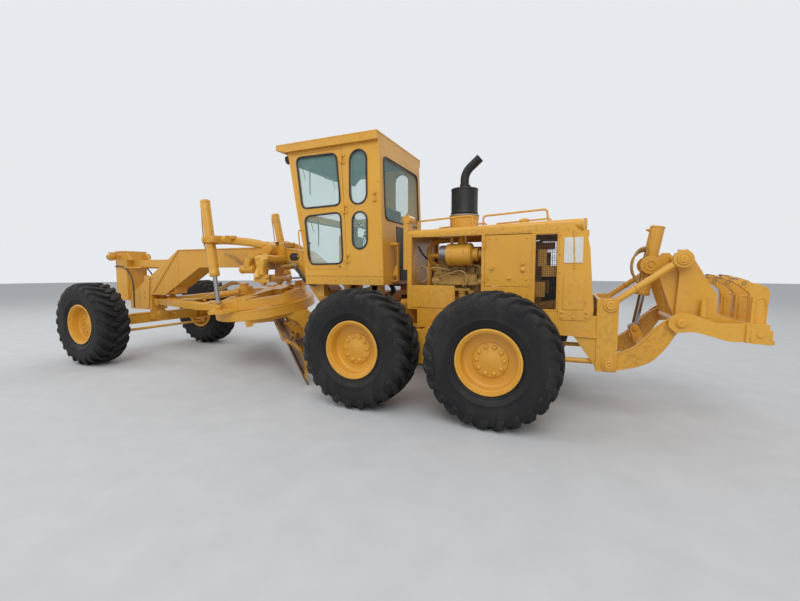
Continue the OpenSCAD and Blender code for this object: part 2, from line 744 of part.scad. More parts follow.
// Cab door, hung on its rear edge
cab_hinge_d = 16;
cab_hinge_out = 20;
module at_cab_hinges() {
    v = seam[1] - seam[0];
    translate([seam[0][0], cab_w / 2 + cab_hinge_out, seam[0][1]]) rotate([0, atan2(v[0], v[1]), 0])
        for (z = [150, 836, 1520]) translate([0, 0, z]) children();
}
module cab_door(side) {
    color(paint) on_side(side) at_cab_hinges() door_knuckle(1, cab_hinge_out, cab_hinge_d, 124);
    color(paint) on_side(side) difference() {
        side_plate([
            [seam[0][0] + door_gap, seam[0][1] + door_gap],
            [seam[1][0] + door_gap, seam[1][1] - door_gap],
            [door_outline[2][0] - door_gap, door_outline[2][1] - door_gap],
            [door_outline[3][0] - door_gap, door_outline[3][1]],
            [door_outline[4][0] - door_gap, door_outline[4][1]],
            [door_outline[5][0] - door_gap, door_outline[5][1] + door_gap]],
            cab_w / 2 - cab_wall, cab_wall);
        for (w = door_windows) side_plate(soft(w, pane_round), cab_w / 2 - cab_wall - eps,
            cab_wall + 2 * eps);
    }
}

// Panes of a cab door
module door_glass(side) {
    color("#9fc3bd", 0.5) on_side(side) for (w = door_windows)
        side_plate(soft(w, pane_round), cab_w / 2 - glass_in - glass_t, glass_t);
}

// Operator's seat on its pedestal
module seat() {
    color(black) {
        block([1020, -150, cab_sill_z], [1320, 150, 1950]);
        block([960, -250, 1949], [1450, 250, 2070]);
        block([900, -240, 2000], [1010, 240, 2640]);
    }
}

// Front frame: the tongue at the hinge, the box under the cab, the arched beam and the nose
module front_frame() {
    half = beam_w / 2;
    tongue_low = rail_z + air;
    tongue_top = rail_top - hinge_plate_t - air;
    bolster_x = wheelbase - 65;
    post_z = 1320;
    color(paint) {
        difference() {
            translate([0, 0, tongue_low]) linear_extrude(tongue_top - tongue_low) {
                translate([pivot_x, 0]) circle(ear_r - 15);
                polygon([[pivot_x, 15 - ear_r], [pivot_x, ear_r - 15], [920, half], [920, -half]]);
            }
            translate([pivot_x, 0, 0]) cylinder(h = 3000, d = pivot_d + 2 * run);
        }
        side_plate([[870, tongue_low], [870, 1400], [1960, 1400], [2120, 1540], [2250, 1835],
            [2500, 2034], [3000, beam_top], [wheelbase - knee_top, beam_top],
            [nose_rear_x - 130, 1270], [nose_rear_x, 1270],
            [nose_rear_x, 900], [bolster_x, 900], [bolster_x, 1215], [wheelbase - 509, 1215],
            [wheelbase - knee_low, beam_low], [2740, beam_low], [2430, 1500], [2150, 1150],
            [1750, tongue_low]], -half, beam_w);
        for (x = [900, 1800]) both_sides() {
            block([x, half - eps, post_z], [x + 120, 600, 1400]);
            block([x, 480, 1399], [x + 120, 600, cab_floor_z]);
        }
        difference() {
            block([nose_rear_x - eps, -nose_w / 2, 1083], [nose_x, nose_w / 2, nose_top]);
            for (y = [-0.5, 0.5] * nose_bolt_y, z = [-0.5, 0.5] * nose_bolt_h)
                translate([nose_x - 60, y, nose_mid_z + z]) rotate([0, 90, 0])
                    cylinder(h = 80, d = nose_bolt_d);
        }
        block([wheelbase - 455, -95, 1785], [nose_rear_x + eps, 95, 1935]);
        both_sides() {
            side_plate([[nose_rear_x + 5, 2110], [nose_rear_x - 165, 1935], [nose_rear_x + 5, 1935]],
                nose_w / 2 - 30, 30);
            block([nose_x - 170, nose_w / 2 - eps, 1985], [nose_x - 120, 420, 2035]);
            translate([nose_x - 190, 360, 2010]) rotate([0, 90, 0]) cylinder(h = 110, d = 170);
        }
        for (z = [ball_z - 116, ball_z + 81]) difference() {
            translate([0, 0, z]) linear_extrude(35) {
                translate([ball_x, 0]) circle(swivel_r);
                translate([ball_x, -swivel_r]) square([bolster_x + eps - ball_x, 2 * swivel_r]);
            }
            translate([ball_x, 0, z - eps]) cylinder(h = 40, d = swivel_pin_d + 2 * run);
        }
        both_sides() for (z = [bend_z - 86, bend_z + 61]) difference() {
            translate([0, 0, z]) linear_extrude(25) {
                translate([bend_front[0], bend_front[1]]) circle(55);
                translate([bend_front[0] - 55, half - eps]) square([110, bend_front[1] - half]);
            }
        }
        both_sides() translate([bend_front[0], bend_front[1], bend_z - 70])
            cylinder(h = 140, d = 44);
    }
}

// Front axle beam, which hangs under the nose, with an eye for a kingpin at each end
module front_axle() {
    low = axle_z - front_beam_h / 2;
    color(paint) {
        block([wheelbase - 90, 60 - kingpin_y, low], [wheelbase + 90, kingpin_y - 60, low + front_beam_h]);
        block([wheelbase - 65, -120, low], [wheelbase + 65, 120, 900]);
        both_sides() difference() {
            translate([wheelbase, kingpin_y, low]) cylinder(h = front_beam_h, d = 180);
            translate([wheelbase, kingpin_y, low - eps])
                cylinder(h = front_beam_h + 2 * eps, d = kingpin_d + 2 * run);
        }
    }
}

// Steering knuckle: a fork on the kingpin, the wheel's spindle and the steering arm
knuckle_t = 40;
module knuckle(side) {
    low = axle_z - front_beam_h / 2 - air - knuckle_t;
    high = axle_z + front_beam_h / 2 + air;
    web = kingpin_y + 100;
    color(paint) on_side(side) {
        translate([wheelbase, kingpin_y, low]) cylinder(h = high + knuckle_t - low, d = kingpin_d);
        for (z = [low, high]) {
            translate([wheelbase, kingpin_y, z]) cylinder(h = knuckle_t, d = 170);
            block([wheelbase - 85, kingpin_y, z], [wheelbase + 85, web, z + knuckle_t]);
        }
        block([wheelbase - 85, web - eps, low], [wheelbase + 85, web + 30, high + knuckle_t]);
        cross_bar(wheelbase, axle_z, spindle_d, web + 29, track / 2 + hub_in);
        block([wheelbase - steer_arm, kingpin_y - 35, low], [wheelbase, kingpin_y + 35, low + knuckle_t]);
        translate([wheelbase - steer_arm, kingpin_y, low]) cylinder(h = knuckle_t, d = 90);
        translate([wheelbase - steer_arm, kingpin_y, low - 62]) cylinder(h = 100, d = 40);
    }
}

// Tie rod between the two steering arms
module tie_rod() {
    z = axle_z - front_beam_h / 2 - air - knuckle_t - 34;
    x = wheelbase - steer_arm;
    color(paint) difference() {
        union() {
            cross_bar(x, z, 50, -kingpin_y, kingpin_y);
            both_sides() translate([x, kingpin_y, z - 28]) cylinder(h = 56, d = 90);
        }
        both_sides() translate([x, kingpin_y, z - 40]) cylinder(h = 80, d = 40 + 2 * run);
    }
}

// Lift yoke: the saddle round the beam, and the arms that carry the lift cylinders
lift_pin = [ball_x - 2470, 860, 2210];
saddle_x = lift_pin[0] - 746;
swing_angle = -18.5;
swing_pin_d = 60;
tilt_pin_d = 44;
module lift_yoke() {
    half = beam_w / 2;
    out = half + 70;
    color(paint) {
        both_sides() {
            translate([saddle_x, 0, 0]) side_plate([[-184, 1750], [-264, 1950], [-184, 2190],
                [166, 2190], [316, 1950], [336, 1510], [246, 1432], [181, 1520], [166, 1720]],
                half, 70);
            cross_bar(saddle_x, 2059, 260, out - eps, out + 160);
            translate([saddle_x, 0, 2130]) linear_extrude(130) polygon([[-94, out - 10],
                [96, out - 10], [656, 670], [876, 655], [856, 715], [606, 745],
                [-44, out + 160], [-94, out + 160]]);
            translate(lift_pin) rotate([0, 0, swing_angle]) {
                for (x = [-195, 155]) block([x, -165, -60], [x + 40, 50, 60]);
                block([-195, -190, -60], [195, -150, 60]);
                for (x = [[-170, -98], [98, 170]])
                    bar([x[0], 0, 0], [x[1], 0, 0], swing_pin_d);
            }
        }
        block([saddle_x - 134, -half - 70, beam_top], [saddle_x + 166, half + 70, 2190]);
        difference() {
            translate(shift_pin + [0, 0, -60]) linear_extrude(120) rotate(shift_angle) {
                for (x = [-130, 70]) translate([x, -70]) square([60, 240]);
                translate([-130, 95]) square([260, 75]);
            }
            translate(shift_pin) rotate([0, 90, shift_angle])
                translate([0, 0, -200]) cylinder(h = 400, d = tilt_pin_d + 2 * run);
        }
        block([saddle_x - 244, half, 1850], [saddle_x - 44, 745, 1950]);
        block([saddle_x - 244, 660, shift_pin[2] + 59], [saddle_x - 124, 745, 1851]);
    }
}

// Collar of a lift cylinder, which swings across the machine
module lift_collar(side) {
    d = lift_barrel_d;
    color(paint) on_side(side) difference() {
        translate(lift_pin - [0, 0, 50]) cylinder(h = 100, d = d + 90);
        translate(lift_pin - [0, 0, 51]) cylinder(h = 102, d = d + 36);
        translate(lift_pin) rotate([0, 90, swing_angle])
            translate([0, 0, -200]) cylinder(h = 400, d = swing_pin_d + 2 * run);
        translate(lift_pin) rotate([90, 0, 0])
            translate([0, 0, -200]) cylinder(h = 400, d = tilt_pin_d + 2 * run);
    }
}

// Centre of a lift cylinder's ball on the drawbar
ball_up = 30;
stud_d = 84;
function lift_ball(side) = leant([-lift_back, side * lift_y, ball_up]);

// Barrel of a lift cylinder, hung in its collar by two pins
module lift_barrel(side) {
    pin = [lift_pin[0], side * lift_pin[1], lift_pin[2]];
    color(paint) {
        aim(pin, lift_ball(side)) difference() {
            translate([0, 0, -lift_up]) cylinder(h = lift_up + lift_down, d = lift_barrel_d);
            translate([0, 0, 40 - lift_up]) cylinder(h = lift_up + lift_down, d = lift_rod_d + 2 * run);
        }
        for (s = [-1, 1])
            bar(pin + s * [0, lift_barrel_d / 2 - 12, 0], pin + s * [0, lift_barrel_d / 2 + 43, 0],
                tilt_pin_d);
    }
}

// Rod of a lift cylinder, with the pad that rides on the drawbar's ball
module lift_rod(side) {
    pin = [lift_pin[0], side * lift_pin[1], lift_pin[2]];
    ball = lift_ball(side);
    reach = norm(ball - pin) - stud_d / 2 - air;
    color(steel) aim(pin, ball) {
        translate([0, 0, lift_down - 560]) cylinder(h = reach - lift_down + 560, d = lift_rod_d);
        translate([0, 0, reach - 45]) cylinder(h = 45, d = 120);
    }
}

// Swivel ball at the drawbar's front end, which turns on upright pins in the frame
swivel_r = 62;
swivel_pin_d = 60;
ear_in = 86;
module drawbar_ball() {
    color(paint) {
        translate([ball_x, 0, ball_z]) sphere(d = ball_d + 40);
        translate([ball_x, 0, ball_z - 112]) cylinder(h = 224, d = swivel_pin_d);
        lean() cross_bar(0, 0, swivel_pin_d, -ear_in - 38, ear_in + 38);
    }
}

// Drawbar: two legs from the swivel ball to the wings that carry the lift balls, the
// frame over the circle, and the bracket of the centre-shift cylinder
leg_h = 110;
wing_z = -25;
module drawbar() {
    back = -lift_back;
    h = drawbar_h;
    tail = -circle_back - 740;
    color(paint) lean() {
        both_sides() {
            difference() {
                union() {
                    translate([0, ear_in, 0]) rotate([-90, 0, 0]) cylinder(h = 40, d = 130);
                    translate([0, 0, -leg_h / 2]) linear_extrude(leg_h) polygon([[-50, ear_in],
                        [-50, ear_in + 40], [-1950, 740], [back + 250, 790], [back + 250, 640],
                        [-1930, 600], [-500, ear_in]]);
                }
                cross_bar(0, 0, swivel_pin_d + 2 * run, -300, 300);
            }
            translate([0, 0, -h / 2]) linear_extrude(h) {
                polygon([[back + 260, 300], [back + 260, 790], [back - 300, 790], [back - 300, 300]]);
                polygon([[back - 290, 640], [back - 290, 790], [tail + 60, 360], [tail, 200],
                    [tail + 160, 200], [tail + 200, 320]]);
            }
            translate([0, 0, -h / 2]) linear_extrude(h / 2 + wing_z) polygon([[back + 260, 780],
                [back + 150, 1010], [back - 170, 1010], [back - 300, 780]]);
            translate([back, lift_y, wing_z - eps]) cylinder(h = 40, d = 60);
            translate([back, lift_y, ball_up]) sphere(d = stud_d);
        }
        block([back - 100, -310, -h / 2], [back + 120, 310, h / 2]);
        block([tail, -210, -h / 2], [tail + 160, 210, h / 2]);
        block([tail, -200, ring_top + shoe_gap], [tail + 28, 200, -h / 2 + eps]);
        both_sides() block([-circle_back - 70, 715, ring_top + shoe_gap],
            [-circle_back + 70, 780, -h / 2 + eps]);
        translate([-circle_back, 0, -h / 2]) difference() {
            cylinder(h = h - 20, d = circle_d - 2 * ring_w - 60);
            translate([0, 0, -eps]) cylinder(h = h, d = circle_d - 2 * ring_w - 340);
        }
        translate([shift_eye_lean[0] - 80, shift_eye_lean[1] - 80, h / 2 - 20])
            cube([160, 160, shift_eye_lean[2] - 56 - h / 2 + 20]);
    }
}

// Circle: the ring that turns under the drawbar's guide shoes, and the arms that hold
// the blade
shoe_gap = 0.3;
ring_top = -drawbar_h / 2 - air;
ring_low = ring_top - ring_h;
tip_pin = [-480, edge_z + 250];
tip_pin_d = 60;
arm_in = circle_d / 2 - ring_w - 30;
module circle_ring() {
    color(paint) turn() {
        difference() {
            translate([0, 0, ring_low]) cylinder(h = ring_h, d = circle_d);
            translate([0, 0, ring_low - eps]) cylinder(h = ring_h + 2 * eps, d = circle_d - 2 * ring_w);
        }
        both_sides() difference() {
            union() {
                side_plate([[400, ring_low + eps], [-620, ring_low + eps], [-710, -380],
                    tip_pin + [-60, 0], tip_pin + [60, 0], [-478, -770], [-478, -510],
                    [-400, -400], [-250, -300], [280, -300], [290, -345], [390, -345],
                    [400, -300]], arm_in, 90);
                cross_bar(tip_pin[0], tip_pin[1], 120, arm_in, arm_in + 90);
            }
            cross_bar(tip_pin[0], tip_pin[1], tip_pin_d + 2 * run, arm_in - eps, arm_in + 100);
        }
        cross_bar(tip_front[0], tip_front[1], tip_cyl_pin_d, tip_y - 35, arm_in + eps);
    }
}

// The moldboard's section in the circle's side view: its foot, its curve's centre and a
// point at a given angle and height on its back
foot = [-edge_back, edge_z];
lean_way = [sin(blade_lean), cos(blade_lean)];
chord = 2 * moldboard_r * sin(moldboard_arc / 2);
curve_mid = foot + lean_way * (edge_h - 60 + chord / 2)
    + [lean_way[1], -lean_way[0]] * moldboard_r * cos(moldboard_arc / 2);
function on_back(a, out) = curve_mid
    + (moldboard_r + moldboard_t + out) * [-cos(a + blade_lean), sin(a + blade_lean)];
rail_d = 50;
rail_angles = [-30, 27];
rail_out = 45;
shift_bar = on_back(2, 90);
lug_y = 1100;

// Tip brackets behind the moldboard: they hold its rails and its side-shift cylinder,
// and swing on the circle's arms
module tip_bracket() {
    y = arm_in - 75;
    low = on_back(rail_angles[0], rail_out);
    high = on_back(rail_angles[1], rail_out);
    back = (tip_pin + shift_bar) / 2;
    color(paint) turn() {
        both_sides() difference() {
            union() {
                side_plate([tip_pin + [20, -70], tip_pin + [-70, -20], tip_eye + [-48, -10],
                    tip_eye + [-34, 34], tip_eye + [0, 48], tip_eye + [34, 34],
                    shift_bar + [-110, 90], high + [-60, 55], high + [30, 45], high + [12, -40],
                    shift_bar, low + [28, 30], low + [20, -45]], y, 60);
            }
            cross_bar(low[0], low[1], rail_d + 0.8, y - eps, y + 80);
            cross_bar(high[0], high[1], rail_d + 0.8, y - eps, y + 80);
            cross_bar(shift_bar[0], shift_bar[1], shift_rod_d + 2 * run, y - eps, y + 80);
            for (a = rail_angles) side_plate([on_back(a - 1.6, 0), on_back(a + 1.6, 0),
                on_back(a + 1.5, rail_out), on_back(a - 1.5, rail_out)], y - eps, 80);
        }
        both_sides() cross_bar(tip_pin[0], tip_pin[1], tip_pin_d, y, arm_in + 90);
        cross_bar(tip_pin[0] + 10, tip_pin[1] + 5, 90, -y - eps, y + eps);
        difference() {
            cross_bar(shift_bar[0], shift_bar[1], shift_barrel_d, -y - 60, y + 60);
            cross_bar(shift_bar[0], shift_bar[1], shift_rod_d + 2 * run, -540, y + 100);
        }
        cross_bar(tip_eye[0], tip_eye[1], 40, tip_y - 35, y + eps);
    }
}

// Tip cylinder under the circle's left side
tip_y = arm_in - 135;
tip_front = [340, -295];
tip_eye = [-795, -379];
tip_way = (tip_eye - tip_front) / norm(tip_eye - tip_front);
function tip_point(d) = [tip_front[0] + d * tip_way[0], tip_y, tip_front[1] + d * tip_way[1]];
tip_cyl_pin_d = 50;
tip_barrel_d = 96;
tip_rod_d = 48;
module tip_barrel() {
    z = tip_front[1];
    color(paint) turn() difference() {
        union() {
            bar(tip_point(0), tip_point(395), tip_barrel_d);
            cross_bar(tip_front[0], z, 96, tip_y - 30, tip_y + 30);
        }
        bar(tip_point(50), tip_point(450), tip_rod_d + 2 * run);
        cross_bar(tip_front[0], z, tip_cyl_pin_d + 2 * run, tip_y - 100, tip_y + 100);
    }
}
module tip_rod() {
    z = tip_eye[1];
    color(steel) turn() difference() {
        union() {
            bar(tip_point(267), tip_point(norm(tip_eye - tip_front)), tip_rod_d);
            cross_bar(tip_eye[0], z, 96, tip_y - 25, tip_y + 25);
        }
        cross_bar(tip_eye[0], z, 66, tip_y - 100, tip_y + 100);
    }
}

// Blade: the curved moldboard with its rails and the side-shift rod, and the cutting edge
module blade() {
    wedge = 2 * moldboard_r;
    left_end = blade_len / 2 - blade_shift;
    color("#7a5140") turn() {
        translate([0, left_end, 0]) rotate([90, 0, 0]) linear_extrude(blade_len) {
            translate(curve_mid) intersection() {
                difference() {
                    circle(moldboard_r + moldboard_t);
                    circle(moldboard_r);
                }
                rotate(-blade_lean) polygon([[0, 0],
                    wedge * [-cos(moldboard_arc / 2), sin(moldboard_arc / 2)],
                    wedge * [-1.2, 0],
                    wedge * [-cos(moldboard_arc / 2), -sin(moldboard_arc / 2)]]);
            }
            translate(foot) rotate(-blade_lean) translate([-edge_t, 0]) square([edge_t, edge_h]);
        }
        for (a = rail_angles) {
            p = on_back(a, rail_out);
            cross_bar(p[0], p[1], rail_d, left_end - blade_len + 200, left_end - 200);
            side_plate([on_back(a - 1, -5), on_back(a + 1, -5), on_back(a + 1, rail_out),
                on_back(a - 1, rail_out)], left_end - blade_len + 200, blade_len - 400);
        }
        cross_bar(shift_bar[0], shift_bar[1], shift_rod_d, -200, lug_y + 30);
        side_plate([on_back(-6, -5), on_back(10, -5), shift_bar + [-45, 40], shift_bar + [-45, -40]],
            lug_y, 30);
    }
}

// Centre-shift cylinder: its barrel hangs at the yoke's left, its rod goes to the
// drawbar's right side
shift_pin = [ball_x - 3365, 560, 1583];
shift_angle = 14;
shift_eye_lean = [-3150, -640, 225];
shift_end = leant(shift_eye_lean);
module shift_barrel() {
    way = (shift_end - shift_pin) / norm(shift_end - shift_pin);
    color(paint) {
        difference() {
            bar(shift_pin - way * 60, shift_pin + way * 750, shift_barrel_d);
            bar(shift_pin + way * 50, shift_pin + way * 800, shift_rod_d + 2 * run);
        }
        translate(shift_pin) rotate([0, 90, shift_angle]) translate([0, 0, -125])
            cylinder(h = 250, d = tilt_pin_d);
    }
}
module shift_rod() {
    way = (shift_end - shift_pin) / norm(shift_end - shift_pin);
    color(steel) {
        bar(shift_pin + way * 365, shift_end - way * 50, shift_rod_d);
        translate(shift_end - [0, 0, 22]) cylinder(h = 44, d = 130);
        translate(shift_end + [0, 0, 21]) cylinder(h = 16, d = 60);
    }
}

// Articulation cylinders, low on both sides of the hinge
bend_z = 1250;
bend_rear = [-60, 400];
bend_front = [1120, 330];
bend_way = (bend_front - bend_rear) / norm(bend_front - bend_rear);
function bend_point(d) = [bend_rear[0] + d * bend_way[0], bend_rear[1] + d * bend_way[1], bend_z];
module bend_barrel(side) {
    reach = norm(bend_front - bend_rear);
    color(paint) on_side(side) difference() {
        union() {
            bar(bend_point(0), bend_point(reach / 2 + 90), steer_barrel_d);
            translate([bend_rear[0], bend_rear[1], bend_z - steer_barrel_d / 2])
                cylinder(h = steer_barrel_d, d = 110);
        }
        bar(bend_point(120), bend_point(reach), steer_rod_d + 2 * run);
        translate([bend_rear[0], bend_rear[1], 0]) cylinder(h = 3000, d = 50 + 2 * run);
    }
}
module bend_rod(side) {
    reach = norm(bend_front - bend_rear);
    color(steel) on_side(side) difference() {
        union() {
            bar(bend_point(reach / 2 - 160), bend_point(reach - 50), steer_rod_d);
            translate(bend_point(reach - 8) - [0, 0, 50]) cylinder(h = 100, d = 120);
        }
        translate(bend_point(reach - 8) - [0, 0, 60]) cylinder(h = 120, d = 78);
    }
}

// Pins of the ripper's parallel linkage, in the side view
pin_a = [ripper_pin_x, ripper_low_z];
pin_c = [ripper_pin_x, ripper_high_z];
pin_b = pin_a + [-ripper_reach, ripper_rise];
pin_d = pin_c + [-ripper_reach, ripper_rise];
arm_y = side_y - 130;

// Lower arms of the ripper, joined by a cross tube with the cylinder's lugs
ripper_eye = [-2316, 1012];
module ripper_arms() {
    color(paint) {
        both_sides() {
            difference() {
                union() {
                    side_plate([[-2060, 590], [-2400, 702], [-2546, 881], [-2650, 1068],
                        [-2600, 1200], [-2428, 1055], [-2265, 859], [-2040, 735]], arm_y, ripper_arm_t);
                    for (p = [pin_a, pin_b]) cross_bar(p[0], p[1], 150, arm_y, arm_y + ripper_arm_t);
                }
                for (p = [pin_a, pin_b])
                    cross_bar(p[0], p[1], ripper_pin_d + 2 * run, arm_y - eps, arm_y + 100);
            }
            side_plate([[-2420, 840], [-2330, 840], ripper_eye + [45, 0], ripper_eye + [0, 45],
                ripper_eye - [45, 0]], 55, 30);
        }
        cross_bar(-2370, 850, 120, -arm_y - eps, arm_y + eps);
        cross_bar(ripper_eye[0], ripper_eye[1], 44, -60, 60);
    }
}

// Upper links of the ripper
module ripper_links() {
    color(paint) both_sides() difference() {
        union() {
            for (p = [pin_c, pin_d]) cross_bar(p[0], p[1], 130, arm_y, arm_y + ripper_arm_t);
            bar([pin_c[0], arm_y + ripper_arm_t / 2, pin_c[1]], [pin_d[0], arm_y + ripper_arm_t / 2, pin_d[1]],
                ripper_arm_t);
        }
        cross_bar(pin_c[0], pin_c[1], ripper_pin_d + 2 * run, arm_y - eps, arm_y + 100);
        cross_bar(pin_d[0], pin_d[1], ripper_pin_d + 20, arm_y - eps, arm_y + 100);
    }
}

// Carriage of the ripper: its side plates, the cross beam and the shanks stored upside
// down on it
ripper_top = [-2440, 1770];
module ripper_carriage() {
    y = arm_y - 60;
    color(paint) {
        both_sides() {
            side_plate([[-2640, 1930], [-2723, 1930], [-2881, 1645], [-2987, 1462], [-3000, 1250],
                [-3210, 1179], [-3210, 1010], [-3049, 999], [-2791, 1070], [-2640, 1080],
                [-2640, 1300], [-2660, 1700]], y, 50);
            side_plate([[-2559, 1200], [-2665, 1263], [-2797, 1237], [-2991, 1167], [-3210, 1179],
                [-3210, 1000], [-3049, 999], [-2791, 1070], [-2620, 1050], [-2559, 1110]],
                arm_y + ripper_arm_t + 8, 50);
            for (p = [pin_b, pin_d]) cross_bar(p[0], p[1], ripper_pin_d, y, arm_y + ripper_arm_t + 12);
            difference() {
                side_plate([pin_d + [40, 60], [-2430, 1830], [-2385, 1770], [-2430, 1720],
                    [-2580, 1600], pin_b + [20, 60], pin_b - [40, 0], pin_d - [60, 0]], 95, 30);
                cross_bar(ripper_top[0], ripper_top[1], 50 + 2 * run, 90, 140);
            }
        }
        for (p = [pin_b, pin_d]) cross_bar(p[0], p[1], 100, -y - eps, y + eps);
        block([-3380, -ripper_beam_w / 2, 990], [-3200, ripper_beam_w / 2, 1180]);
        for (s = [-450, 0, 450]) {
            side_plate([[-3284, 1179], [-3370, 1179], [-3406, 1479], [-3390, 1530], [-3348, 1554],
                [-3020, 1662], [-3010, 1640], [-3150, 1570], [-3255, 1476]], s - shank_t / 2, shank_t);
            side_plate([[-3262, 1179], [-3385, 1179], [-3398, 1440], [-3270, 1440]], s - 60, 120);
        }
    }
}

// Lift cylinder of the ripper, hung between the carriage's inner plates
ripper_way = (ripper_eye - ripper_top) / norm(ripper_eye - ripper_top);
ripper_cyl_d = 150;
module ripper_barrel() {
    top = ripper_top - 460 * ripper_way;
    low = ripper_top + 360 * ripper_way;
    inner = ripper_top - 420 * ripper_way;
    open = ripper_top + 380 * ripper_way;
    color(paint) {
        difference() {
            bar([top[0], 0, top[1]], [low[0], 0, low[1]], ripper_cyl_d);
            bar([inner[0], 0, inner[1]], [open[0], 0, open[1]], 70 + 2 * run);
        }
        both_sides() cross_bar(ripper_top[0], ripper_top[1], 50, ripper_cyl_d / 2 - 12, 125);
    }
}
module ripper_rod() {
    up = ripper_top + 60 * ripper_way;
    low = ripper_eye - 60 * ripper_way;
    color(steel) difference() {
        union() {
            bar([up[0], 0, up[1]], [low[0], 0, low[1]], 70);
            cross_bar(ripper_eye[0], ripper_eye[1], 134, -48, 48);
        }
        cross_bar(ripper_eye[0], ripper_eye[1], 86, -60, 60);
    }
}

place() rear_frame();
place() rear_axle();
place() engine();
place() grilles();
place() hood();
place() side_panels();
place() exhaust();
place() front_frame();
place() cab_floor();
place() cab_walls();
place() cab_roof();
place() cab_glass();
place() seat();
place() lift_yoke();
place() front_axle();
place() tie_rod();
place() drawbar_ball();
place() drawbar();
place() circle_ring();  // circle
place() blade();
place() tip_bracket();
place() tip_barrel();
place() tip_rod();
place() shift_barrel();
place() shift_rod();
place() ripper_arms();
place() ripper_links();
place() ripper_carriage();
place() ripper_barrel();
place() ripper_rod();
for (w = WHEELS) {
    place() tyre(w);
    place() rim(w);
}
for (s = SIDES) {
    place() side_door(s[1]);
    place() cab_door(s[1]);
    place() door_glass(s[1]);
    place() knuckle(s[1]);
    place() lift_collar(s[1]);
    place() lift_barrel(s[1]);
    place() lift_rod(s[1]);
    place() bend_barrel(s[1]);
    place() bend_rod(s[1]);
}
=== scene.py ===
# Motor grader with a blade under its front frame and a ripper at its tail: the looks that
# go round its solids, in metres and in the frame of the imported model.
import json
import math

import bmesh
import bpy
from mathutils import Matrix, Vector


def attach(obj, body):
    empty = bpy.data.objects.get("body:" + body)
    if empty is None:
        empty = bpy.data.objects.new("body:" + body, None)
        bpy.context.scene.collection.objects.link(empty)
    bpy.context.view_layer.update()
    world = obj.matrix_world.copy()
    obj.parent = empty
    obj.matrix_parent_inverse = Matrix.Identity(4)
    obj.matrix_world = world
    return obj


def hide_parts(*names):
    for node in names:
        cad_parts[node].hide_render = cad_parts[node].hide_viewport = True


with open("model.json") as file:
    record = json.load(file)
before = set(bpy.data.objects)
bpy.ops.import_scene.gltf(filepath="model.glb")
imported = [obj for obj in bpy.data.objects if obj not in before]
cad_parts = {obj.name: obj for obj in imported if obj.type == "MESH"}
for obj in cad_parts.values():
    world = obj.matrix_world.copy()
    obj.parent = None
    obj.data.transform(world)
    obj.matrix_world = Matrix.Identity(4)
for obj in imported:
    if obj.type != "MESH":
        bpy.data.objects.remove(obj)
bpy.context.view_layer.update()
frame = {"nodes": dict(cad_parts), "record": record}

# Camera
# The photograph was taken with a wide lens at eye height, beside the rear left wheels.
# Places in this script are in the machine's own frame, from the ground under the middle
# of the tandem axles, and MACHINE takes them to the frame of the solids.
MACHINE = Vector((-2.010, 0.290, 0.0))
lens = bpy.data.cameras.new("photo_lens")
lens.sensor_width = 36.0
lens.lens = 17.604
lens.clip_end = 400.0
camera = bpy.data.objects.new("camera", lens)
bpy.context.scene.collection.objects.link(camera)
camera.location = Vector((-1.611, 5.511, 1.701)) + MACHINE
camera.rotation_euler = Vector((0.402, -0.9125, -0.075)).to_track_quat("-Z", "Y").to_euler()
bpy.context.scene.camera = camera
bpy.context.scene.view_settings.view_transform = "Standard"


# Floor and light
# A pale yard floor, a pale sky all round and two large soft lamps above the left side.
def wired(tree, kind, place=None, **values):
    made = tree.nodes.new(kind)
    for name, value in values.items():
        setattr(made, name, value)
    return made


def mesh_of(bm, name):
    """Ends the making of a mesh and gives it as plain data."""
    mesh = bpy.data.meshes.new(name)
    bm.to_mesh(mesh)
    bm.free()
    return mesh


def poured(bm, own):
    """Adds a form drawn on its own to a mesh in the making."""
    mesh = mesh_of(own, "own")
    bm.from_mesh(mesh)
    bpy.data.meshes.remove(mesh)


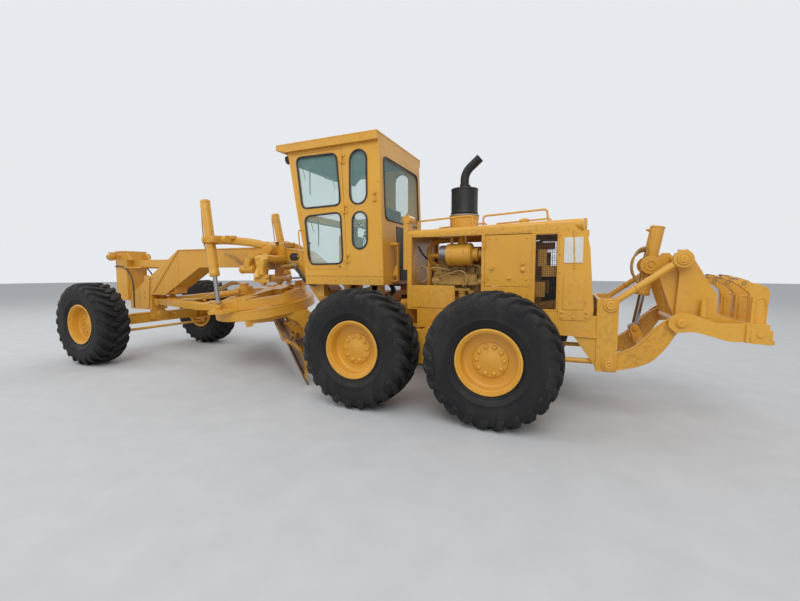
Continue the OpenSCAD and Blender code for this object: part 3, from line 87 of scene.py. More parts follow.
def floor_and_light():
    bm = bmesh.new()
    bmesh.ops.create_circle(bm, cap_ends=True, radius=70.0, segments=96)
    mesh = mesh_of(bm, "floor")
    floor = bpy.data.objects.new("floor", mesh)
    bpy.context.scene.collection.objects.link(floor)
    stone = bpy.data.materials.new("pale_floor")
    stone.use_nodes = True
    tree = stone.node_tree
    shader = tree.nodes["Principled BSDF"]
    shader.inputs["Roughness"].default_value = 0.9
    spot = wired(tree, "ShaderNodeTexCoord")
    grain = wired(tree, "ShaderNodeTexNoise")
    grain.inputs["Scale"].default_value = 3.0
    grain.inputs["Detail"].default_value = 6.0
    shade = wired(tree, "ShaderNodeMix", data_type="RGBA")
    shade.inputs["A"].default_value = (0.50, 0.505, 0.51, 1.0)
    shade.inputs["B"].default_value = (0.60, 0.605, 0.61, 1.0)
    tree.links.new(spot.outputs["Object"], grain.inputs["Vector"])
    tree.links.new(grain.outputs["Fac"], shade.inputs["Factor"])
    tree.links.new(shade.outputs["Result"], shader.inputs["Base Color"])
    mesh.materials.append(stone)

    sky = bpy.data.worlds.new("sky")
    bpy.context.scene.world = sky
    sky.use_nodes = True
    tree = sky.node_tree
    tree.nodes.clear()
    light = wired(tree, "ShaderNodeBackground")
    light.inputs["Color"].default_value = (0.93, 0.96, 1.0, 1.0)
    light.inputs["Strength"].default_value = 0.62
    seen = wired(tree, "ShaderNodeBackground")
    seen.inputs["Color"].default_value = (0.80, 0.82, 0.85, 1.0)
    seen.inputs["Strength"].default_value = 1.0
    ray = wired(tree, "ShaderNodeLightPath")
    either = wired(tree, "ShaderNodeMath", operation="MAXIMUM")
    any_of = wired(tree, "ShaderNodeMath", operation="MAXIMUM")
    mix = wired(tree, "ShaderNodeMixShader")
    out = wired(tree, "ShaderNodeOutputWorld")
    tree.links.new(ray.outputs["Is Camera Ray"], either.inputs[0])
    tree.links.new(ray.outputs["Is Glossy Ray"], either.inputs[1])
    tree.links.new(either.outputs[0], any_of.inputs[0])
    tree.links.new(ray.outputs["Is Transmission Ray"], any_of.inputs[1])
    tree.links.new(any_of.outputs[0], mix.inputs[0])
    tree.links.new(light.outputs[0], mix.inputs[1])
    tree.links.new(seen.outputs[0], mix.inputs[2])
    tree.links.new(mix.outputs[0], out.inputs["Surface"])

    for name, place, size, power in [
            ("lamp_left", (-6.0, 14.0, 15.0), 14.0, 1900.0),
            ("lamp_front", (16.0, 7.0, 11.0), 10.0, 800.0),
            ("lamp_right", (2.0, -15.0, 12.0), 12.0, 700.0)]:
        lamp = bpy.data.lights.new(name, "AREA")
        lamp.size = size
        lamp.energy = power
        holder = bpy.data.objects.new(name, lamp)
        bpy.context.scene.collection.objects.link(holder)
        holder.location = place
        facing = Vector((0, 0, 1)) - Vector(place)
        holder.rotation_euler = facing.to_track_quat("-Z", "Y").to_euler()


floor_and_light()


# Tyres
# Six wide rubber tyres with deep slanting lugs that run from the middle of the tread over
# the shoulder. The carcass is turned as one closed form, and the lugs are set round it.
TYRE_R = 0.745
TRACK = 1.24
AXLE_Z = 0.745
WHEELS = [
    ("front_left", 6.455, 1), ("front_right", 6.455, -1),
    ("middle_left", 0.825, 1), ("middle_right", 0.825, -1),
    ("rear_left", -0.825, 1), ("rear_right", -0.825, -1),
]


def group_of(name, inputs, outputs):
    """A new shader group with its named sockets, and the nodes at its two ends."""
    tree = bpy.data.node_groups.new(name, "ShaderNodeTree")
    for label, kind, value in inputs:
        made = tree.interface.new_socket(name=label, in_out="INPUT", socket_type=kind)
        made.default_value = value
    for label, kind in outputs:
        tree.interface.new_socket(name=label, in_out="OUTPUT", socket_type=kind)
    return tree, tree.nodes.new("NodeGroupInput"), tree.nodes.new("NodeGroupOutput")


def weathering():
    """Colour, roughness and height of a surface that dust, rubbing and chips have worked on:
    dust lies on what faces up, wear sits on the raised edges, and large soft clouds of a
    second shade run over the whole."""
    flat, colour = "NodeSocketFloat", "NodeSocketColor"
    tree, start, end = group_of("weathering", [
        ("Colour", colour, (0.6, 0.3, 0.05, 1)), ("Shade", colour, (0.5, 0.25, 0.05, 1)),
        ("Dust", colour, (0.45, 0.38, 0.28, 1)), ("Worn", colour, (0.2, 0.12, 0.08, 1)),
        ("Dust amount", flat, 0.3), ("Wear amount", flat, 0.3),
        ("Cloud scale", flat, 1.5), ("Grain scale", flat, 120.0),
        ("Smooth", flat, 0.35), ("Rough", flat, 0.75)],
        [("Colour", colour), ("Roughness", flat), ("Height", flat)])
    place = tree.nodes.new("ShaderNodeTexCoord").outputs["Object"]
    form = tree.nodes.new("ShaderNodeNewGeometry")

    def noise(scale, detail, stretch=None):
        made = tree.nodes.new("ShaderNodeTexNoise")
        made.inputs["Detail"].default_value = detail
        if isinstance(scale, (int, float)):
            made.inputs["Scale"].default_value = scale
        else:
            tree.links.new(scale, made.inputs["Scale"])
        source = place
        if stretch:
            turned = tree.nodes.new("ShaderNodeMapping")
            turned.inputs["Scale"].default_value = stretch
            tree.links.new(place, turned.inputs["Vector"])
            source = turned.outputs["Vector"]
        tree.links.new(source, made.inputs["Vector"])
        return made.outputs["Fac"]

    def sum_of(operation, a, b):
        made = tree.nodes.new("ShaderNodeMath")
        made.operation = operation
        for socket, value in zip(made.inputs, (a, b)):
            if isinstance(value, (int, float)):
                socket.default_value = value
            else:
                tree.links.new(value, socket)
        return made.outputs[0]

    def range_of(value, low, high, out_low=0.0, out_high=1.0):
        made = tree.nodes.new("ShaderNodeMapRange")
        tree.links.new(value, made.inputs["Value"])
        for label, number in [("From Min", low), ("From Max", high), ("To Min", out_low),
                              ("To Max", out_high)]:
            made.inputs[label].default_value = number
        return made.outputs[0]

    def blend_of(mask, a, b):
        made = tree.nodes.new("ShaderNodeMix")
        made.data_type = "RGBA"
        tree.links.new(mask, made.inputs["Factor"])
        for label, value in (("A", a), ("B", b)):
            tree.links.new(value, made.inputs[label])
        return made.outputs["Result"]

    clouds = range_of(noise(start.outputs["Cloud scale"], 5.0), 0.38, 0.66)
    streaks = range_of(noise(2.4, 6.0, (3.0, 3.0, 0.35)), 0.5, 0.75)
    body = blend_of(clouds, start.outputs["Colour"], start.outputs["Shade"])
    facing = tree.nodes.new("ShaderNodeSeparateXYZ")
    tree.links.new(form.outputs["Normal"], facing.inputs[0])
    up = range_of(facing.outputs["Z"], 0.25, 0.95)
    patchy = range_of(noise(9.0, 6.0), 0.35, 0.68)
    lying = sum_of("MULTIPLY", up, sum_of("MULTIPLY", patchy, start.outputs["Dust amount"]))
    running = sum_of("MULTIPLY", streaks, sum_of("MULTIPLY", start.outputs["Dust amount"], 0.35))
    dusty = sum_of("MAXIMUM", lying, running)
    body = blend_of(dusty, body, start.outputs["Dust"])
    edge = range_of(form.outputs["Pointiness"], 0.525, 0.60)
    chips = range_of(noise(26.0, 8.0), 0.50, 0.62)
    bare = sum_of("MULTIPLY", sum_of("MULTIPLY", edge, chips), start.outputs["Wear amount"])
    specks = sum_of("MULTIPLY", range_of(noise(55.0, 3.0), 0.72, 0.76),
                    sum_of("MULTIPLY", start.outputs["Wear amount"], 0.6))
    bare = sum_of("MAXIMUM", bare, specks)
    body = blend_of(bare, body, start.outputs["Worn"])
    matt = sum_of("MAXIMUM", dusty, sum_of("MAXIMUM", bare, sum_of("MULTIPLY", clouds, 0.35)))
    rough = tree.nodes.new("ShaderNodeMapRange")
    tree.links.new(matt, rough.inputs["Value"])
    tree.links.new(start.outputs["Smooth"], rough.inputs["To Min"])
    tree.links.new(start.outputs["Rough"], rough.inputs["To Max"])
    grain = noise(start.outputs["Grain scale"], 3.0)
    height = sum_of("SUBTRACT", sum_of("ADD", sum_of("MULTIPLY", grain, 0.25),
                                       sum_of("MULTIPLY", clouds, 0.6)),
                    sum_of("MULTIPLY", bare, 0.8))
    tree.links.new(body, end.inputs["Colour"])
    tree.links.new(rough.outputs[0], end.inputs["Roughness"])
    tree.links.new(height, end.inputs["Height"])
    return tree


WEATHERING = weathering()


def finish_of(name, colour, shade, dust=(0.50, 0.42, 0.31), worn=(0.16, 0.10, 0.07),
              dust_amount=0.3,
              wear=0.3, clouds=1.5, grain=120.0, smooth=0.35, rough=0.75, bump=0.25, metal=0.0,
              coat=0.0, gloss=0.5):
    """A material whose colour, gloss and bumps come from the weathering group."""
    made = bpy.data.materials.new(name)
    made.use_nodes = True
    tree = made.node_tree
    shader = tree.nodes["Principled BSDF"]
    shader.inputs["Metallic"].default_value = metal
    shader.inputs["Coat Weight"].default_value = coat
    shader.inputs["Specular IOR Level"].default_value = gloss
    work = tree.nodes.new("ShaderNodeGroup")
    work.node_tree = WEATHERING
    for label, value in [("Colour", colour), ("Shade", shade), ("Dust", dust), ("Worn", worn)]:
        work.inputs[label].default_value = (*value, 1.0)
    for label, value in [("Dust amount", dust_amount), ("Wear amount", wear),
                         ("Cloud scale", clouds), ("Grain scale", grain), ("Smooth", smooth),
                         ("Rough", rough)]:
        work.inputs[label].default_value = value
    dents = tree.nodes.new("ShaderNodeBump")
    dents.inputs["Strength"].default_value = bump
    dents.inputs["Distance"].default_value = 0.004
    tree.links.new(work.outputs["Colour"], shader.inputs["Base Color"])
    tree.links.new(work.outputs["Roughness"], shader.inputs["Roughness"])
    tree.links.new(work.outputs["Height"], dents.inputs["Height"])
    tree.links.new(dents.outputs["Normal"], shader.inputs["Normal"])
    return made


RUBBER = finish_of("tyre_rubber", (0.009, 0.009, 0.010), (0.018, 0.018, 0.018),
                   dust=(0.10, 0.092, 0.08), worn=(0.055, 0.052, 0.047), dust_amount=0.45, wear=0.5,
                   clouds=3.0, grain=90.0, smooth=0.66, rough=0.9, bump=0.5, gloss=0.3)


def piece(name, bm, finish, body, replaces=(), bevel=0.0, smooth=40.0, machine=True):
    """Makes a finished piece of a bmesh: its place in its mesh, faces out, riding on a body."""
    bmesh.ops.recalc_face_normals(bm, faces=bm.faces[:])
    if machine:
        bmesh.ops.translate(bm, vec=MACHINE, verts=bm.verts[:])
    return kept(name, mesh_of(bm, name), finish, body, replaces, bevel, smooth)


def kept(name, mesh, finish, body, replaces=(), bevel=0.0, smooth=40.0):
    """Puts a mesh that is in place on its body, with its finish, slot and rounded edges."""
    mesh.shade_smooth()
    made = bpy.data.objects.new(name, mesh)
    bpy.context.scene.collection.objects.link(made)
    if finish is not None:
        mesh.materials.clear()
        for one in finish if isinstance(finish, (list, tuple)) else [finish]:
            mesh.materials.append(one)
    if bevel:
        worked = made.modifiers.new("rounded_edges", "BEVEL")
        worked.width = bevel
        worked.segments = 2
        worked.limit_method = "ANGLE"
        worked.angle_limit = math.radians(38.0)
        worked.use_clamp_overlap = True
        worked.miter_outer = "MITER_ARC"
        even = made.modifiers.new("flat_faces", "WEIGHTED_NORMAL")
        even.weight = 80
        made.data = flattened(made)
        made.modifiers.clear()
    else:
        made.data.set_sharp_from_angle(angle=math.radians(smooth))
    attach(made, body)
    if replaces:
        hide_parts(*replaces)
    return made


def flattened(made):
    """The plain mesh that a piece's modifiers give."""
    bpy.context.view_layer.update()
    seen = made.evaluated_get(bpy.context.evaluated_depsgraph_get())
    return bpy.data.meshes.new_from_object(seen)


def turned_round(bm, profile, steps=72, closed=True):
    """Adds a profile of (radius, height along Z) turned round Z."""
    rings = []
    for i in range(steps):
        a = 2 * math.pi * i / steps
        rings.append([bm.verts.new((r * math.cos(a), r * math.sin(a), w)) for r, w in profile])
    count = len(profile)
    for i in range(steps):
        here, there = rings[i], rings[(i + 1) % steps]
        for j in range(count if closed else count - 1):
            k = (j + 1) % count
            bm.faces.new((here[j], there[j], there[k], here[k]))


def wheel_place(x, side):
    """Takes a form that is drawn round Z, outside up, to a wheel's place."""
    lay = Matrix.Rotation(math.radians(-90.0), 4, "X")
    if side < 0:
        lay = Matrix.Scale(-1.0, 4, (0, 1, 0)) @ lay
    return Matrix.Translation((x, side * TRACK, AXLE_Z)) @ lay


def wheel_mesh(bm, place):
    """Ends a form drawn round Z as plain data at a wheel's place, faces out."""
    bmesh.ops.recalc_face_normals(bm, faces=bm.faces[:])
    bmesh.ops.transform(bm, matrix=Matrix.Translation(MACHINE) @ place, verts=bm.verts[:])
    return mesh_of(bm, "wheel_form")


def grown(name, tree, values, finish, place=None):
    """Runs a geometry tree and gives its result as a plain mesh, moved to its place."""
    holder = bpy.data.objects.new(name, bpy.data.meshes.new(name))
    bpy.context.scene.collection.objects.link(holder)
    work = holder.modifiers.new("work", "NODES")
    work.node_group = tree
    for item in tree.interface.items_tree:
        if item.item_type == "SOCKET" and item.in_out == "INPUT" and item.name in values:
            work[item.identifier] = values[item.name]
    for item in tree.interface.items_tree:
        if item.name == "Finish":
            work[item.identifier] = finish
    mesh = flattened(holder)
    bpy.data.objects.remove(holder)
    if place is not None:
        mesh.transform(place)
    mesh.transform(Matrix.Translation(MACHINE))
    return mesh


def ring_tree():
    """Copies of one form set round Z, as lugs on a tyre, bolts on a flange or gear teeth."""
    tree = bpy.data.node_groups.new("set_round_a_ring", "GeometryNodeTree")
    face = tree.interface
    for label, kind, value in [("Form", "NodeSocketObject", None), ("Count", "NodeSocketInt", 10),
                               ("First angle", "NodeSocketFloat", 0.0),
                               ("Step", "NodeSocketFloat", 0.1),
                               ("Finish", "NodeSocketMaterial", None)]:
        made = face.new_socket(name=label, in_out="INPUT", socket_type=kind)
        if value is not None:
            made.default_value = value
    face.new_socket(name="Geometry", in_out="OUTPUT", socket_type="NodeSocketGeometry")
    start, end = tree.nodes.new("NodeGroupInput"), tree.nodes.new("NodeGroupOutput")
    points = tree.nodes.new("GeometryNodePoints")
    info = tree.nodes.new("GeometryNodeObjectInfo")
    copies = tree.nodes.new("GeometryNodeInstanceOnPoints")
    index = tree.nodes.new("GeometryNodeInputIndex")
    angle = tree.nodes.new("ShaderNodeMath")
    angle.operation = "MULTIPLY_ADD"
    turn = tree.nodes.new("ShaderNodeCombineXYZ")
    real = tree.nodes.new("GeometryNodeRealizeInstances")
    paint = tree.nodes.new("GeometryNodeSetMaterial")
    join = tree.links.new
    join(start.outputs["Count"], points.inputs["Count"])
    join(start.outputs["Form"], info.inputs["Object"])
    join(points.outputs[0], copies.inputs["Points"])
    join(info.outputs["Geometry"], copies.inputs["Instance"])
    join(index.outputs[0], angle.inputs[0])
    join(start.outputs["Step"], angle.inputs[1])
    join(start.outputs["First angle"], angle.inputs[2])
    join(angle.outputs[0], turn.inputs["Z"])
    join(turn.outputs[0], copies.inputs["Rotation"])
    join(copies.outputs[0], real.inputs[0])
    join(real.outputs[0], paint.inputs["Geometry"])
    join(start.outputs["Finish"], paint.inputs["Material"])
    join(paint.outputs[0], end.inputs[0])
    return tree


RING = ring_tree()


def form_of(name, bm):
    """A form that a tree copies: it is kept out of the render and of the object."""
    bmesh.ops.recalc_face_normals(bm, faces=bm.faces[:])
    mesh = mesh_of(bm, name)
    mesh.shade_smooth()
    made = bpy.data.objects.new(name, mesh)
    bpy.context.scene.collection.objects.link(made)
    return made


def joined(parts):
    """One mesh out of several."""
    bm = bmesh.new()
    for part in parts:
        bm.from_mesh(part)
    return mesh_of(bm, "joined")


def lug_form(lean):
    """A lug from the tread's middle over the shoulder, leaning one way round the tyre."""
    bm = bmesh.new()
    spine = [(-0.012, 0.690, 0.745, 0.000), (0.055, 0.690, 0.7455, 0.012),
             (0.115, 0.688, 0.744, 0.040),
             (0.165, 0.684, 0.741, 0.075), (0.205, 0.675, 0.731, 0.105),
             (0.235, 0.655, 0.709, 0.128),
             (0.254, 0.615, 0.672, 0.142), (0.262, 0.600, 0.633, 0.150)]
    rings = []
    for w, low, high, sweep in spine:
        ring = []
        for r, half in ((low, 0.050), (high - 0.006, 0.036), (high, 0.029), (high, -0.029),
                        (high - 0.006, -0.036), (low, -0.050)):
            a = (sweep * 1.25 + half) * lean / TYRE_R
            ring.append(bm.verts.new((r * math.cos(a), r * math.sin(a), w)))
        rings.append(ring)
    for here, there in zip(rings, rings[1:]):
        for j in range(6):
            bm.faces.new((here[j], here[(j + 1) % 6], there[(j + 1) % 6], there[j]))
    bm.faces.new(rings[0])
    bm.faces.new(rings[-1])
    return bm


def tyre_pieces():
    lugs = 24
    half = [(0.3186, 0.2065), (0.366, 0.2065), (0.377, 0.213), (0.388, 0.222), (0.398, 0.222),
            (0.404, 0.229), (0.445, 0.244), (0.452, 0.249), (0.462, 0.249), (0.469, 0.247),
            (0.515, 0.2565),
            (0.560, 0.2595), (0.600, 0.2575), (0.640, 0.2495), (0.666, 0.237), (0.684, 0.219),
            (0.694, 0.195), (0.699, 0.150), (0.701, 0.0)]
    profile = half + [(r, -w) for r, w in reversed(half[:-1])]
    forms = [form_of("lug_outer", lug_form(1)), form_of("lug_inner", lug_form(-1))]
    for name, x, side in WHEELS:
        place = wheel_place(x, side)
        bm = bmesh.new()
        turned_round(bm, profile, 120)
        carcass = wheel_mesh(bm, place)
        step = 2 * math.pi / lugs
        outer = grown("lugs", RING, {"Form": forms[0], "Count": lugs, "Step": step}, RUBBER, place)
        back = place @ Matrix.Rotation(math.pi, 4, "X")
        inner = grown("lugs", RING, {"Form": forms[1], "Count": lugs, "Step": step,
                                     "First angle": step / 2}, RUBBER, back)
        whole = joined([carcass, outer, inner])
        bm = bmesh.new()
        bm.from_mesh(whole)
        bmesh.ops.recalc_face_normals(bm, faces=bm.faces[:])
        bm.to_mesh(whole)
        bm.free()
        kept("tyre_" + name + "_tread", whole, RUBBER, "wheel_" + name, ["tyre_" + name],
             smooth=32.0)
    for form in forms:
        bpy.data.objects.remove(form)


tyre_pieces()


# Rims
# Deep-dished pressed and welded steel rims in the machine's yellow, with a loose flange
# ring, a lock ring, a conical barrel and a flat centre held by ten domed nuts.
YELLOW = finish_of("yellow_paint", (0.72, 0.365, 0.034), (0.65, 0.315, 0.026),
                   dust=(0.60, 0.42, 0.17),
                   worn=(0.24, 0.105, 0.03), dust_amount=0.34, wear=0.35, clouds=1.3, grain=160.0,
                   smooth=0.36, rough=0.62, bump=0.16, coat=0.12)
# Dark steel. The same finish also paints shade in the beam's openings, in the column's holes and on
# the cab's rear wall.
DARK = finish_of("dark_steel_and_painted_shade", (0.018, 0.017, 0.017), (0.035, 0.032, 0.030), dust_amount=0.25,
                 wear=0.2, clouds=4.0, smooth=0.45, rough=0.8, bump=0.3)


def nut_form(r=0.026, h=0.024, domed=True, out=0.0):
    """A domed or six-sided nut that stands on Z, as far out from the middle as asked."""
    bm = bmesh.new()
    if domed:
        profile = [(0.0001, h), (r * 0.55, h * 0.92), (r * 0.86, h * 0.62), (r, h * 0.22),
                   (r, -0.004), (0.0001, -0.004)]
        turned_round(bm, profile, 14)
        bmesh.ops.remove_doubles(bm, verts=bm.verts[:], dist=0.0005)
    else:
        bmesh.ops.create_cone(bm, cap_ends=True, segments=6, radius1=r, radius2=r * 0.94, depth=h)
        bmesh.ops.translate(bm, vec=(0, 0, h / 2 - 0.002), verts=bm.verts[:])
    bmesh.ops.translate(bm, vec=(out, 0, 0), verts=bm.verts[:])
    return bm


def rim_pieces():
    out = 0.2275
    face = out - 0.170
    profile = [
        (0.3575, out - 0.004), (0.3585, out - 0.012), (0.352, out - 0.0195), (0.3185, out - 0.0195),
        (0.3175, out - 0.026), (0.3175, 0.0195 - out), (0.352, 0.0195 - out), (0.3585, 0.010 - out),
        (0.355, 0.002 - out), (0.345, -out), (0.306, -out), (0.304, face - 0.025),
        (0.165, face - 0.025), (0.165, face - 0.115), (0.1105, face - 0.115),
        (0.1105, face + 0.010),
        (0.0001, face + 0.010), (0.0001, face + 0.030), (0.060, face + 0.030),
        (0.066, face + 0.0255),
        (0.178, face + 0.0255), (0.187, face + 0.022), (0.191, face + 0.014), (0.192, face + 0.004),
        (0.198, face), (0.270, face),
        (0.288, face + 0.004), (0.300, face + 0.014), (0.3035, face + 0.028), (0.3045, out - 0.050),
        (0.309, out - 0.036), (0.322, out - 0.030), (0.329, out - 0.022), (0.331, out - 0.010),
        (0.337, out - 0.002), (0.347, out)]
    nut = form_of("wheel_nut", nut_form(out=0.150))
    for name, x, side in WHEELS:
        place = wheel_place(x, side)
        bm = bmesh.new()
        turned_round(bm, profile, 96)
        bmesh.ops.remove_doubles(bm, verts=bm.verts[:], dist=0.0004)
        turned = wheel_mesh(bm, place)
        nuts = grown("nuts", RING, {"Form": nut, "Count": 10, "Step": math.pi / 5}, YELLOW,
                     place @ Matrix.Translation((0, 0, face + 0.0255)))
        kept("rim_" + name + "_dish", joined([turned, nuts]), YELLOW, "wheel_" + name,
             ["rim_" + name], smooth=38.0)
    bpy.data.objects.remove(nut)


rim_pieces()


# Painted steelwork
# The frames, cases, axles, yoke, drawbar, circle and ripper are welded of thick plate with
# its edges ground round, so their solids are kept, with rounded edges and paint over them.
CHROME = finish_of("chrome_rod", (0.36, 0.37, 0.39), (0.27, 0.28, 0.29), dust=(0.30, 0.25, 0.18),
                   worn=(0.22, 0.17, 0.12), dust_amount=0.3, wear=0.15, clouds=5.0, smooth=0.20,
                   rough=0.45, bump=0.03, metal=1.0)
BLACK = finish_of("exhaust_black", (0.012, 0.012, 0.014), (0.022, 0.020, 0.019),
                  worn=(0.08, 0.05, 0.04), dust_amount=0.16, wear=0.35, clouds=5.0, smooth=0.42,
                  rough=0.72, bump=0.2, gloss=0.35)
RUST = finish_of("bare_moldboard", (0.155, 0.075, 0.042), (0.27, 0.145, 0.075),
                 dust=(0.42, 0.27, 0.11),
                 worn=(0.36, 0.30, 0.25), dust_amount=0.42, wear=0.35, clouds=4.0, smooth=0.32,
                 rough=0.72, bump=0.3, metal=0.45)
EDGE = finish_of("worn_edge", (0.20, 0.155, 0.125), (0.13, 0.085, 0.06), worn=(0.48, 0.46, 0.44),
                 dust_amount=0.3, wear=0.7, clouds=6.0, smooth=0.28, rough=0.7, bump=0.3, metal=0.7)
ENGINE = finish_of("engine_paint", (0.56, 0.315, 0.055), (0.40, 0.235, 0.055),
                   dust=(0.36, 0.26, 0.13), worn=(0.16, 0.10, 0.06), dust_amount=0.6, wear=0.5,
                   clouds=7.0, smooth=0.36, rough=0.7, bump=0.25)
HOSE = finish_of("hose_rubber", (0.020, 0.020, 0.021), (0.035, 0.033, 0.031), dust_amount=0.3,
                 wear=0.1, clouds=8.0, smooth=0.5, rough=0.85, bump=0.3)
LINE = finish_of("steel_line", (0.50, 0.30, 0.07), (0.38, 0.25, 0.10), dust_amount=0.3, wear=0.4,
                 clouds=9.0, smooth=0.35, rough=0.65, bump=0.1)
GREY = finish_of("grey_metal", (0.34, 0.35, 0.36), (0.26, 0.27, 0.28), dust_amount=0.3, wear=0.3,
                 clouds=9.0, smooth=0.3, rough=0.6, bump=0.1, metal=0.6)
# Pale paint of the blank plates and lamp lenses. On the mirror's face it is a painted reflection.
PALE = finish_of("blank_plate", (0.70, 0.70, 0.66), (0.62, 0.62, 0.58), dust_amount=0.3, wear=0.15,
                 clouds=6.0, smooth=0.4, rough=0.6, bump=0.05)

BODY = {node: body for body, nodes in frame["record"]["behaviour"]["bodies"].items()
        for node in nodes}


def softened(node, finish, bevel=0.005, name=None):
    """A solid of the frame with rounded edges, and what is welded to it."""
    bm = bmesh.new()
    bm.from_mesh(frame["nodes"][node].data)
    bmesh.ops.remove_doubles(bm, verts=bm.verts[:], dist=0.00002)
    if not node.startswith("cab_"):
        bmesh.ops.dissolve_limit(bm, angle_limit=math.radians(0.7), verts=bm.verts[:],
                                 edges=bm.edges[:])
    return kept(name or node + "_dressed", mesh_of(bm, node), finish, BODY[node], [node],
                bevel)


def box(bm, low, high):
    """A box between two corners, given in any order."""
    made = bmesh.ops.create_cube(bm, size=1.0)["verts"]
    low, high = Vector([min(c) for c in zip(low, high)]), Vector([max(c) for c in zip(low, high)])
    for vert in made:
        vert.co = Vector(((vert.co[i] + 0.5) * (high[i] - low[i]) + low[i] for i in range(3)))


def slab(bm, points, start, depth, across="Y"):
    """An outline pushed through: in the side view across Y, from above across Z, or from
    behind across X."""
    def at(p, d):
        return {"Y": (p[0], d, p[1]), "Z": (p[0], p[1], d), "X": (d, p[0], p[1])}[across]
    near = [bm.verts.new(at(p, start)) for p in points]
    far = [bm.verts.new(at(p, start + depth)) for p in points]
    bm.faces.new(near)
    bm.faces.new(far[::-1])
    for i in range(len(points)):
        j = (i + 1) % len(points)
        bm.faces.new((near[i], near[j], far[j], far[i]))


def side_slab(bm, points, side, near, far):
    """An outline pushed from one distance from the middle to another, on one side."""
    low, high = sorted((side * near, side * far))
    slab(bm, points, low, high - low)


def tube(bm, path, r, steps=10, closed=False):
    """A round bar, pipe or hose along a path; r is one radius or one for each point."""
    path = [Vector(p) for p in path]
    rings, side = [], None
    for i, p in enumerate(path):
        before, after = path[max(i - 1, 0)], path[min(i + 1, len(path) - 1)]
        if closed:
            before, after = path[i - 1], path[(i + 1) % len(path)]
        way = (after - before).normalized()
        if side is None:
            side = way.orthogonal().normalized()
        side = (side - way * side.dot(way)).normalized()
        other = way.cross(side)
        here = r[i] if isinstance(r, (list, tuple)) else r
        rings.append([bm.verts.new(p + here * (math.cos(2 * math.pi * k / steps) * side
                      + math.sin(2 * math.pi * k / steps) * other)) for k in range(steps)])
    for i in range(len(rings) if closed else len(rings) - 1):
        here, there = rings[i], rings[(i + 1) % len(rings)]
        for k in range(steps):
            j = (k + 1) % steps
            bm.faces.new((here[k], here[j], there[j], there[k]))
    if not closed:
        bm.faces.new(rings[0][::-1])
        bm.faces.new(rings[-1])


def bent(path, radius, steps=5):
    """A path with its corners taken round, as a pipe bender leaves them."""
    path = [Vector(p) for p in path]
    out = [path[0]]
    for a, b, c in zip(path, path[1:], path[2:]):
        back, on = (a - b), (c - b)
        cut = min(radius, back.length * 0.49, on.length * 0.49)
        start, end = b + back.normalized() * cut, b + on.normalized() * cut
        for i in range(steps + 1):
            t = i / steps
            out.append(start * (1 - t) ** 2 + b * 2 * t * (1 - t) + end * t ** 2)
    return out + [path[-1]]


def hanging(a, b, sag, out=(0, 0, 0), steps=14):
    """A hose's path from a to b with its middle hung down and pushed out."""
    a, b, out = Vector(a), Vector(b), Vector(out)
    return [a.lerp(b, i / steps) + (out - Vector((0, 0, sag))) * 4 * (i / steps) * (1 - i / steps)
            for i in range(steps + 1)]


def spun(bm, mid, way, profile, steps=24):
    """A profile of (radius, distance along way) turned round an axis through mid."""
    own = bmesh.new()
    turned_round(own, [(max(r, 0.0001), w) for r, w in profile], steps)
    bmesh.ops.remove_doubles(own, verts=own.verts[:], dist=0.0003)
    aim = Vector(way).to_track_quat("Z", "Y").to_matrix().to_4x4()
    bmesh.ops.transform(own, matrix=Matrix.Translation(mid) @ aim, verts=own.verts[:])
    poured(bm, own)


def disc(bm, mid, way, r, h, steps=24):
    """A round boss or pin of height h that stands on mid."""
    spun(bm, mid, way, [(0, 0), (r, 0), (r, h - r * 0.06), (r * 0.94, h), (0, h)], steps)


def studs_tree():
    """Copies of one form on the points of a mesh, each turned to the point's facing: bolts,
    rivets, weld beads and nuts."""
    tree = bpy.data.node_groups.new("set_on_points", "GeometryNodeTree")
    face = tree.interface
    for label, kind in [("Places", "NodeSocketObject"), ("Form", "NodeSocketObject"),
                        ("Finish", "NodeSocketMaterial")]:
        face.new_socket(name=label, in_out="INPUT", socket_type=kind)
    face.new_socket(name="Geometry", in_out="OUTPUT", socket_type="NodeSocketGeometry")
    new, join = tree.nodes.new, tree.links.new
    start, end = new("NodeGroupInput"), new("NodeGroupOutput")
    places, form = new("GeometryNodeObjectInfo"), new("GeometryNodeObjectInfo")
    points, facing = new("GeometryNodeMeshToPoints"), new("GeometryNodeInputNamedAttribute")
    turn, copies = new("FunctionNodeAlignRotationToVector"), new("GeometryNodeInstanceOnPoints")
    real, paint = new("GeometryNodeRealizeInstances"), new("GeometryNodeSetMaterial")
    facing.data_type = "FLOAT_VECTOR"
    facing.inputs["Name"].default_value = "facing"
    turn.axis = "Z"
    join(start.outputs["Places"], places.inputs["Object"])
    join(start.outputs["Form"], form.inputs["Object"])
    join(places.outputs["Geometry"], points.inputs[0])
    join(points.outputs[0], copies.inputs["Points"])
    join(form.outputs["Geometry"], copies.inputs["Instance"])
    join(facing.outputs[0], turn.inputs["Vector"])
    join(turn.outputs[0], copies.inputs["Rotation"])
    join(copies.outputs[0], real.inputs[0])
    join(real.outputs[0], paint.inputs["Geometry"])
    join(start.outputs["Finish"], paint.inputs["Material"])
    join(paint.outputs[0], end.inputs[0])
    return tree


STUDS = studs_tree()


def copies_on(name, places, way, form, finish):
    """A mesh of one form set on several places; way is one facing or one for each."""
    ways = way if isinstance(way, list) else [way] * len(places)
    mesh = bpy.data.meshes.new("places")
    mesh.from_pydata([tuple(p) for p in places], [], [])
    facing = mesh.attributes.new("facing", "FLOAT_VECTOR", "POINT")
    for i, one in enumerate(ways):
        facing.data[i].vector = Vector(one).normalized()
    holder = bpy.data.objects.new("places", mesh)
    bpy.context.scene.collection.objects.link(holder)
    copied = form_of("form", form)
    mesh = grown(name, STUDS, {"Places": holder, "Form": copied}, finish)
    bpy.data.objects.remove(holder)
    bpy.data.objects.remove(copied)
    return mesh


